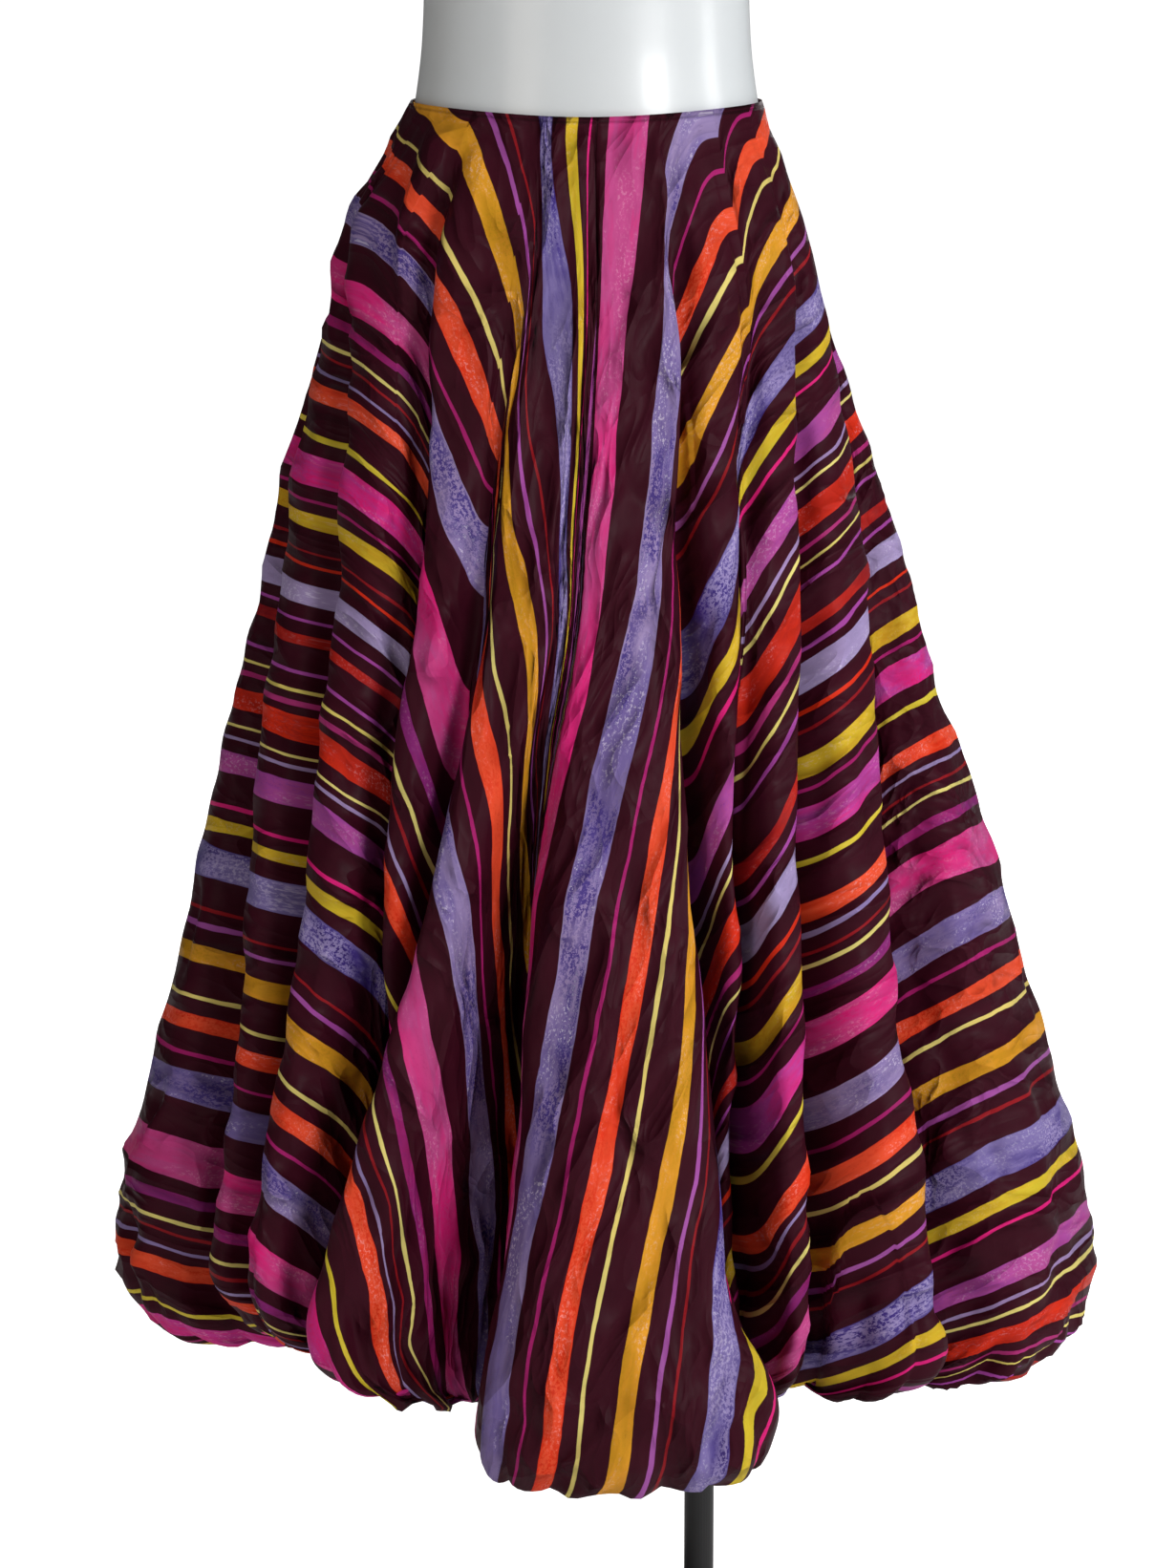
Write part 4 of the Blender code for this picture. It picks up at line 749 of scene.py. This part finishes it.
# ---------------------------------------------------------------- the form
def form_object():
    """The dress form's own levels, with fine rings between them and a flat bottom and top."""
    heights = [r[0] for r in FORM]
    near_ends = [heights[0] + 0.0012 * k for k in range(1, 4)] + [heights[-1] - 0.0012 * k for k in range(1, 4)]
    levels = sorted(set(heights + near_ends + np.linspace(heights[0], heights[-1], 130).round(5).tolist()))
    around = 160
    azs = np.linspace(0.0, 360.0, around, endpoint=False)
    verts, faces = [], []
    for h in levels:
        r = oval(azs, *(smooth(heights, [row[k] for row in FORM], h) for k in (1, 2, 3)))
        verts += np.stack([r * np.sin(np.radians(azs)), -r * np.cos(np.radians(azs)), np.full(around, WAIST_Z + h)], axis=-1).tolist()
    for k in range(len(levels) - 1):
        for c in range(around):
            d = (c + 1) % around
            faces.append((k * around + c, k * around + d, (k + 1) * around + d, (k + 1) * around + c))
    top = (len(levels) - 1) * around
    faces.append(tuple(range(around))[::-1])
    faces.append(tuple(range(top, top + around)))
    me = bpy.data.meshes.new("form_body")
    me.from_pydata(verts, [], faces)
    me.polygons.foreach_set("use_smooth", [True] * (len(faces) - 2) + [False] * 2)
    ob = bpy.data.objects.new("form_body", me)
    bpy.context.scene.collection.objects.link(ob)
    return ob


form_body = form_object()


# ---------------------------------------------------------------- materials
def srgb(hexa):
    out = []
    for k in (0, 2, 4):
        v = int(hexa[k:k + 2], 16) / 255.0
        out.append(v / 12.92 if v <= 0.04045 else ((v + 0.055) / 1.055) ** 2.4)
    return (*out, 1.0)


class Nodes:
    def __init__(self, name):
        self.m = bpy.data.materials.new(name)
        self.m.use_nodes = True
        self.t = self.m.node_tree
        self.bsdf = self.t.nodes["Principled BSDF"]

    def put(self, sock, value):
        if isinstance(value, bpy.types.NodeSocket):
            self.t.links.new(value, sock)
        else:
            sock.default_value = value

    def math(self, op, a, b=None, c=None, clamp=False):
        n = self.t.nodes.new("ShaderNodeMath")
        n.operation, n.use_clamp = op, clamp
        self.put(n.inputs[0], a)
        if b is not None:
            self.put(n.inputs[1], b)
        if c is not None:
            self.put(n.inputs[2], c)
        return n.outputs[0]

    def mix(self, fac, a, b, blend="MIX"):
        n = self.t.nodes.new("ShaderNodeMix")
        n.data_type, n.blend_type = "RGBA", blend
        self.put(n.inputs[0], fac)
        self.put(n.inputs[6], a)
        self.put(n.inputs[7], b)
        return n.outputs[2]

    def attribute(self, name):
        n = self.t.nodes.new("ShaderNodeAttribute")
        n.attribute_type, n.attribute_name = "GEOMETRY", name
        return n.outputs["Vector"]

    def separate(self, v):
        n = self.t.nodes.new("ShaderNodeSeparateXYZ")
        self.put(n.inputs[0], v)
        return n.outputs

    def combine(self, x, y, z=0.0):
        n = self.t.nodes.new("ShaderNodeCombineXYZ")
        for sock, v in zip(n.inputs, (x, y, z)):
            self.put(sock, v)
        return n.outputs[0]

    def noise(self, vector, scale, detail=2.0, rough=0.5, distortion=0.0):
        n = self.t.nodes.new("ShaderNodeTexNoise")
        n.noise_dimensions = "3D"
        self.put(n.inputs["Vector"], vector)
        n.inputs["Scale"].default_value = scale
        n.inputs["Detail"].default_value = detail
        n.inputs["Roughness"].default_value = rough
        n.inputs["Distortion"].default_value = distortion
        return n.outputs[0]

    def spread(self, v, a, b, lo=0.0, hi=1.0):
        n = self.t.nodes.new("ShaderNodeMapRange")
        n.clamp = True
        self.put(n.inputs[0], v)
        for k, x in zip((1, 2, 3, 4), (a, b, lo, hi)):
            n.inputs[k].default_value = x
        return n.outputs[0]

    def bump(self, height, strength, distance, normal=None):
        n = self.t.nodes.new("ShaderNodeBump")
        n.inputs["Strength"].default_value = strength
        n.inputs["Distance"].default_value = distance
        self.put(n.inputs["Height"], height)
        if normal is not None:
            self.put(n.inputs["Normal"], normal)
        return n.outputs[0]


GROUND = "360b19"
COLOURS = {
    "orange_red": "d83014", "crimson": "8a171f", "hot_pink": "dc1f76", "rose": "b24a85",
    "magenta": "a01f66", "orchid": "a0459a", "mauve": "8d5f96", "lavender": "9a86b2",
    "periwinkle": "a798c6", "violet": "3b297c", "plum": "54266e", "gold": "c48d1c",
    "yellow": "d2bb30", "butter": "d9ca76", "orange": "e0952c", "coral": "ee6a44",
}
# The print, one row for each stripe of the repeat, in millimetres on the flat cloth.
# dark ground before it, its width, its colour, the second colour in it, broad mottling, fine flecks
STRIPES = [
    (13, 31, "hot_pink", "rose", 0.85, 0.35), (27, 25, "lavender", "violet", 0.60, 0.90),
    (13, 3, "magenta", "magenta", 0.0, 0.0), (15, 15, "orange_red", "coral", 0.40, 0.40),
    (12, 3.5, "butter", "gold", 0.2, 0.0), (24, 16, "gold", "orange", 0.65, 0.45),
    (14, 4, "orchid", "mauve", 0.4, 0.0), (9, 2.5, "crimson", "crimson", 0.0, 0.0),
    (24, 26, "violet", "periwinkle", 0.40, 0.70), (13, 10, "yellow", "gold", 0.50, 0.25),
    (10, 3, "hot_pink", "magenta", 0.3, 0.0), (26, 17, "orchid", "rose", 0.65, 0.45),
    (10, 3, "lavender", "mauve", 0.3, 0.0), (7, 2.5, "butter", "butter", 0.0, 0.0),
    (12, 18, "orange_red", "crimson", 0.45, 0.40), (9, 4, "magenta", "rose", 0.3, 0.0),
    (8, 2.5, "butter", "yellow", 0.3, 0.0), (11, 3, "orchid", "orchid", 0.0, 0.0),
    (22, 9, "crimson", "orange_red", 0.40, 0.15), (8, 3, "orchid", "orchid", 0.0, 0.0),
    (10, 19, "periwinkle", "lavender", 0.65, 0.75), (12, 3, "orange_red", "crimson", 0.2, 0.0),
    (9, 2.5, "crimson", "crimson", 0.0, 0.0), (17, 13, "gold", "yellow", 0.60, 0.35),
    (8, 2.5, "magenta", "magenta", 0.0, 0.0), (11, 24, "hot_pink", "orchid", 0.80, 0.40),
    (13, 4, "yellow", "butter", 0.3, 0.0), (27, 14, "orange_red", "coral", 0.45, 0.45),
    (7, 3, "lavender", "violet", 0.3, 0.0), (11, 2.5, "crimson", "crimson", 0.0, 0.0),
    (8, 3, "butter", "butter", 0.0, 0.0), (13, 9, "magenta", "plum", 0.55, 0.25),
]
REPEAT = sum(r[0] + r[1] for r in STRIPES) / 1000.0
PHASE_RIGHT, PHASE_LEFT = 0.004, 0.300


def skirt_material():
    n = Nodes("skirt_print")
    cut = n.attribute("cut")
    edge = n.attribute("edge")
    s, t, side = n.separate(cut)[:3]
    down, to_seam, across = n.separate(edge)[:3]
    # broad and fine wavering of the stripes' edges, along the cloth, as a brush leaves them
    wide = n.noise(n.combine(n.math("MULTIPLY", s, 38.0), n.math("MULTIPLY", t, 8.5), side), 1.0, 1.0, 0.5)
    wave = n.noise(n.combine(n.math("MULTIPLY", s, 120.0), n.math("MULTIPLY", t, 34.0), side), 1.0, 2.0, 0.5)
    swell = n.noise(n.combine(n.math("MULTIPLY", s, 22.0), n.math("MULTIPLY_ADD", t, 6.5, 3.7), side), 1.0, 1.0, 0.5)
    waver = n.math("ADD", n.math("MULTIPLY_ADD", wide, 0.0068, -0.0034), n.math("MULTIPLY_ADD", wave, 0.0026, -0.0013))
    phase = n.math("MULTIPLY_ADD", side, PHASE_LEFT - PHASE_RIGHT, PHASE_RIGHT)
    at = n.math("ADD", n.math("ADD", s, phase), waver)
    at = n.math("ADD", at, 4.0 * REPEAT)
    at = n.math("MULTIPLY", n.math("FRACT", n.math("DIVIDE", at, REPEAT)), REPEAT * 1000.0)   # millimetres
    squeeze = n.spread(swell, 0.30, 0.70, 0.84, 1.22)
    ground = srgb(GROUND)
    colour, second, inner, mottle, fleck = ground, ground, 0.0, 0.0, 0.0
    x = 0.0
    for gap, width, key, other, broad, fine in STRIPES:
        x += gap
        centre, half = x + width / 2.0, width / 2.0
        x += width
        d = n.math("MULTIPLY", n.math("ABSOLUTE", n.math("SUBTRACT", at, centre)), squeeze)
        mask = n.math("MULTIPLY_ADD", d, -3.0, 3.0 * half + 0.5, clamp=True)
        colour = n.mix(mask, colour, srgb(COLOURS[key]))
        if broad or fine:
            second = n.mix(mask, second, srgb(COLOURS[other]))
            inner = n.math("MAXIMUM", inner, n.math("MULTIPLY_ADD", d, -0.55, 0.55 * half, clamp=True))
        if broad:
            mottle = n.math("MAXIMUM", mottle, n.math("MULTIPLY", mask, broad))
        if fine:
            fleck = n.math("MAXIMUM", fleck, n.math("MULTIPLY", mask, fine))
    # broad mottling where the wet colours ran together, fine flecks where the brush was dry
    run = n.noise(n.combine(n.math("MULTIPLY", s, 46.0), n.math("MULTIPLY", t, 13.0), side), 1.0, 3.0, 0.62)
    streak = n.noise(n.combine(n.math("MULTIPLY", s, 240.0), n.math("MULTIPLY", t, 30.0), side), 1.0, 3.0, 0.62)
    grain = n.noise(n.combine(n.math("MULTIPLY", s, 470.0), n.math("MULTIPLY", t, 290.0), side), 1.0, 2.0, 0.75)
    patch = n.noise(n.combine(n.math("MULTIPLY", s, 19.0), n.math("MULTIPLY_ADD", t, 9.0, 5.1), side), 1.0, 2.0, 0.6)
    tide = n.noise(n.combine(n.math("MULTIPLY", s, 11.0), n.math("MULTIPLY_ADD", t, 5.2, 8.3), side), 1.0, 1.0, 0.5)
    broad = n.math("MULTIPLY", mottle, n.math("MULTIPLY_ADD", n.spread(tide, 0.42, 0.60), 0.80, n.math("MULTIPLY", 0.65, n.spread(n.math("MULTIPLY_ADD", streak, 0.45, n.math("MULTIPLY", run, 0.75)), 0.53, 0.68)), clamp=True))
    dots = n.math("MULTIPLY", n.spread(n.math("MULTIPLY_ADD", streak, 0.35, n.math("MULTIPLY", grain, 0.8)), 0.52, 0.59), n.spread(patch, 0.36, 0.52))
    fine = n.math("MULTIPLY", n.math("MULTIPLY", fleck, dots), inner)
    painted = n.mix(n.math("MAXIMUM", broad, fine), colour, second)
    # chalky lights and deeper touches inside the wide stripes
    chalk = n.math("MULTIPLY", n.math("MULTIPLY", fleck, inner), n.math("MULTIPLY", n.spread(grain, 0.53, 0.62), n.spread(run, 0.48, 0.60)))
    painted = n.mix(n.math("MULTIPLY", chalk, 0.75), painted, n.mix(0.55, colour, (0.86, 0.80, 0.88, 1.0)))
    deep = n.math("MULTIPLY", n.math("MULTIPLY", fleck, n.spread(grain, 0.46, 0.36)), n.spread(run, 0.50, 0.34))
    painted = n.mix(n.math("MULTIPLY", deep, 0.55), painted, n.mix(0.55, colour, ground))
    value = n.spread(run, 0.30, 0.70, 0.84, 1.12)
    final = n.mix(1.0, painted, n.combine(value, value, value), "MULTIPLY")
    # a stitched line under the turned waist edge, and the seams; painted shade darkens the print in the groove under
    # the edge and along the seams
    stitch = n.math("MULTIPLY", n.spread(n.math("ABSOLUTE", n.math("SUBTRACT", down, 0.0042)), 0.0006, 0.0001),
                    n.spread(n.math("SINE", n.math("MULTIPLY", across, 2 * math.pi / 0.0028)), -0.45, -0.1))
    groove = n.spread(n.math("ABSOLUTE", n.math("SUBTRACT", down, 0.0042)), 0.0016, 0.0003)
    seam = n.spread(to_seam, 0.0011, 0.0002)
    # painted shade: the print's colour is darkened in the groove under the waist edge and beside the seams
    shade = n.math("SUBTRACT", 1.0, n.math("MAXIMUM", n.math("MULTIPLY", groove, 0.30), n.math("MULTIPLY", seam, 0.45)))
    final = n.mix(1.0, final, n.combine(shade, shade, shade), "MULTIPLY")
    n.put(n.bsdf.inputs["Base Color"], final)
    # crisp crushing, and the seams' grooves
    bent = n.noise(n.combine(n.math("MULTIPLY", s, 18.0), n.math("MULTIPLY", t, 14.0), side), 1.0, 0.0, 0.5)
    cell = n.t.nodes.new("ShaderNodeTexVoronoi")
    cell.feature = "F1"
    n.put(cell.inputs["Vector"], n.combine(n.math("MULTIPLY_ADD", bent, 1.6, n.math("MULTIPLY", s, 30.0)),
                                           n.math("MULTIPLY_ADD", bent, -1.2, n.math("MULTIPLY", t, 15.0)), side))
    cell.inputs["Scale"].default_value = 1.0
    small = n.noise(n.combine(n.math("MULTIPLY", s, 75.0), n.math("MULTIPLY", t, 48.0), side), 1.0, 1.0, 0.5)
    crush = n.t.nodes.new("ShaderNodeTexNoise")
    crush.noise_dimensions, crush.noise_type = "3D", "RIDGED_MULTIFRACTAL"
    n.put(crush.inputs["Vector"], n.combine(n.math("MULTIPLY_ADD", bent, 0.6, n.math("MULTIPLY", s, 17.0)),
                                            n.math("MULTIPLY_ADD", bent, -0.5, n.math("MULTIPLY_ADD", s, 4.0, n.math("MULTIPLY", t, 7.5))), side))
    for key, v in (("Scale", 1.0), ("Detail", 2.0), ("Roughness", 0.45), ("Lacunarity", 2.1), ("Offset", 0.9), ("Gain", 1.6), ("Distortion", 0.2)):
        crush.inputs[key].default_value = v
    b0 = n.bump(crush.outputs[0], 1.0, 0.0110)
    b1 = n.bump(cell.outputs["Distance"], 0.50, 0.005, b0)
    b2 = n.bump(small, 0.45, 0.0024, b1)
    b3 = n.bump(n.math("SUBTRACT", n.math("MULTIPLY", stitch, 0.6), n.math("MAXIMUM", groove, seam)), 0.6, 0.0007, b2)
    n.put(n.bsdf.inputs["Normal"], b3)
    n.put(n.bsdf.inputs["Roughness"], n.spread(streak, 0.3, 0.7, 0.44, 0.56))
    n.bsdf.inputs["Specular IOR Level"].default_value = 0.07
    n.bsdf.inputs["Sheen Weight"].default_value = 0.0
    n.bsdf.inputs["Sheen Roughness"].default_value = 0.35
    n.bsdf.inputs["Sheen Tint"].default_value = (1.0, 0.80, 0.86, 1.0)
    return n.m


cloth = skirt_material()
for piece in (right, left):
    piece.data.materials.append(cloth)


def simple(name, colour, rough, metal=0.0, coat=0.0, grain=None):
    n = Nodes(name)
    co = n.t.nodes.new("ShaderNodeTexCoord").outputs["Object"]
    tone = n.noise(co, grain[0] if grain else 9.0, 3.0, 0.55)
    base = n.mix(n.spread(tone, 0.3, 0.7, 0.0, 1.0), srgb(colour), srgb(grain[1] if grain else colour))
    n.put(n.bsdf.inputs["Base Color"], base)
    n.put(n.bsdf.inputs["Roughness"], n.spread(tone, 0.3, 0.7, rough * 0.92, rough * 1.08))
    n.bsdf.inputs["Metallic"].default_value = metal
    n.bsdf.inputs["Coat Weight"].default_value = coat
    n.bsdf.inputs["Coat Roughness"].default_value = 0.12
    fine = n.noise(co, 600.0, 2.0, 0.5)
    n.put(n.bsdf.inputs["Normal"], n.bump(fine, 0.05, 0.0003))
    return n.m


form_white = simple("form_gloss", "d5d9db", 0.32, coat=0.20, grain=(5.0, "cfd4d7"))
pole_black = simple("pole_paint", "0d0d0e", 0.42, coat=0.05, grain=(40.0, "121214"))
steel = simple("fitting_steel", "a7a8aa", 0.30, metal=1.0, grain=(80.0, "8f9093"))
zip_paint = simple("zip_paint", "5a3340", 0.35, metal=0.6, grain=(400.0, "472833"))
form_body.data.materials.append(form_white)
for node, mat in (("dress_form", form_white), ("pole", pole_black), ("base_plate", pole_black),
                  ("form_socket", steel), ("base_collar", steel), ("zip_slider", zip_paint), ("zip_pull", zip_paint)):
    ob = bpy.data.objects[node]
    for k in range(len(ob.material_slots)):
        ob.material_slots[k].material = mat
    if not ob.material_slots:
        ob.data.materials.append(mat)

# ---------------------------------------------------------------- riding, and the CAD parts they stand in for hidden
for piece, node in ((right, "skirt_panel_right"), (left, "skirt_panel_left")):
    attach(piece, "skirt_and_form")
    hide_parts(node)

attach(form_body, "skirt_and_form")
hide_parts("dress_form")

# ---------------------------------------------------------------- studio
world = bpy.data.worlds.new("studio")
bpy.context.scene.world = world
world.use_nodes = True
wt = world.node_tree
sky = wt.nodes["Background"]
sky.inputs[0].default_value = (1.0, 1.0, 1.0, 1.0)
sky.inputs[1].default_value = 0.09
# the white wall of the studio, which lights less than it shows
wall = wt.nodes.new("ShaderNodeBackground")
wall.inputs[0].default_value = (1.0, 1.0, 1.0, 1.0)
wall.inputs[1].default_value = 1.0
rays = wt.nodes.new("ShaderNodeLightPath")
both = wt.nodes.new("ShaderNodeMixShader")
wt.links.new(rays.outputs["Is Camera Ray"], both.inputs[0])
wt.links.new(sky.outputs[0], both.inputs[1])
wt.links.new(wall.outputs[0], both.inputs[2])
wt.links.new(both.outputs[0], wt.nodes["World Output"].inputs[0])

floor_me = bpy.data.meshes.new("floor")
S = 60.0
floor_me.from_pydata([(-S, -S, 0), (S, -S, 0), (S, S, 0), (-S, S, 0)], [], [(0, 1, 2, 3)])
floor = bpy.data.objects.new("floor", floor_me)
bpy.context.scene.collection.objects.link(floor)
fl = Nodes("floor_pale")
place = fl.separate(fl.t.nodes.new("ShaderNodeTexCoord").outputs["Object"])
far = fl.math("SQRT", fl.math("ADD", fl.math("POWER", place[0], 2.0), fl.math("POWER", place[1], 2.0)))
fl.bsdf.inputs["Base Color"].default_value = (0.93, 0.93, 0.93, 1.0)
fl.bsdf.inputs["Roughness"].default_value = 0.9
fl.bsdf.inputs["Specular IOR Level"].default_value = 0.05
fl.bsdf.inputs["Emission Color"].default_value = (1.0, 1.0, 1.0, 1.0)
seen = fl.t.nodes.new("ShaderNodeLightPath").outputs["Is Camera Ray"]
fl.put(fl.bsdf.inputs["Emission Strength"], fl.math("MULTIPLY_ADD", seen, fl.spread(far, 0.3, 3.5, 0.66, 1.0), 0.05))
floor_me.materials.append(fl.m)


def area_light(name, at, to, size, power, colour=(1, 1, 1)):
    d = bpy.data.lights.new(name, "AREA")
    d.shape, d.size, d.size_y = "RECTANGLE", size[0], size[1]
    d.energy, d.color = power, colour
    ob = bpy.data.objects.new(name, d)
    bpy.context.scene.collection.objects.link(ob)
    ob.location = at
    ob.rotation_euler = (Vector(to) - Vector(at)).to_track_quat("-Z", "Y").to_euler()
    return ob


area_light("key", (2.3, -3.3, 2.3), (0, 0, 0.8), (1.1, 1.5), 102)
area_light("side", (3.4, -0.9, 2.2), (0, 0, 1.1), (0.8, 1.8), 38)
area_light("fill", (-2.0, -3.2, 1.7), (0, 0, 0.8), (1.2, 1.8), 20, (1.0, 0.90, 0.80))
area_light("top", (0.0, 0.2, 4.2), (0, 0, 1.0), (2.5, 2.5), 26)
area_light("back", (0.6, 3.6, 2.4), (0, 0, 0.8), (2.0, 2.0), 52)

scene = bpy.context.scene
scene.view_settings.view_transform = "Standard"
scene.view_settings.look = "None"

bpy.context.view_layer.update()
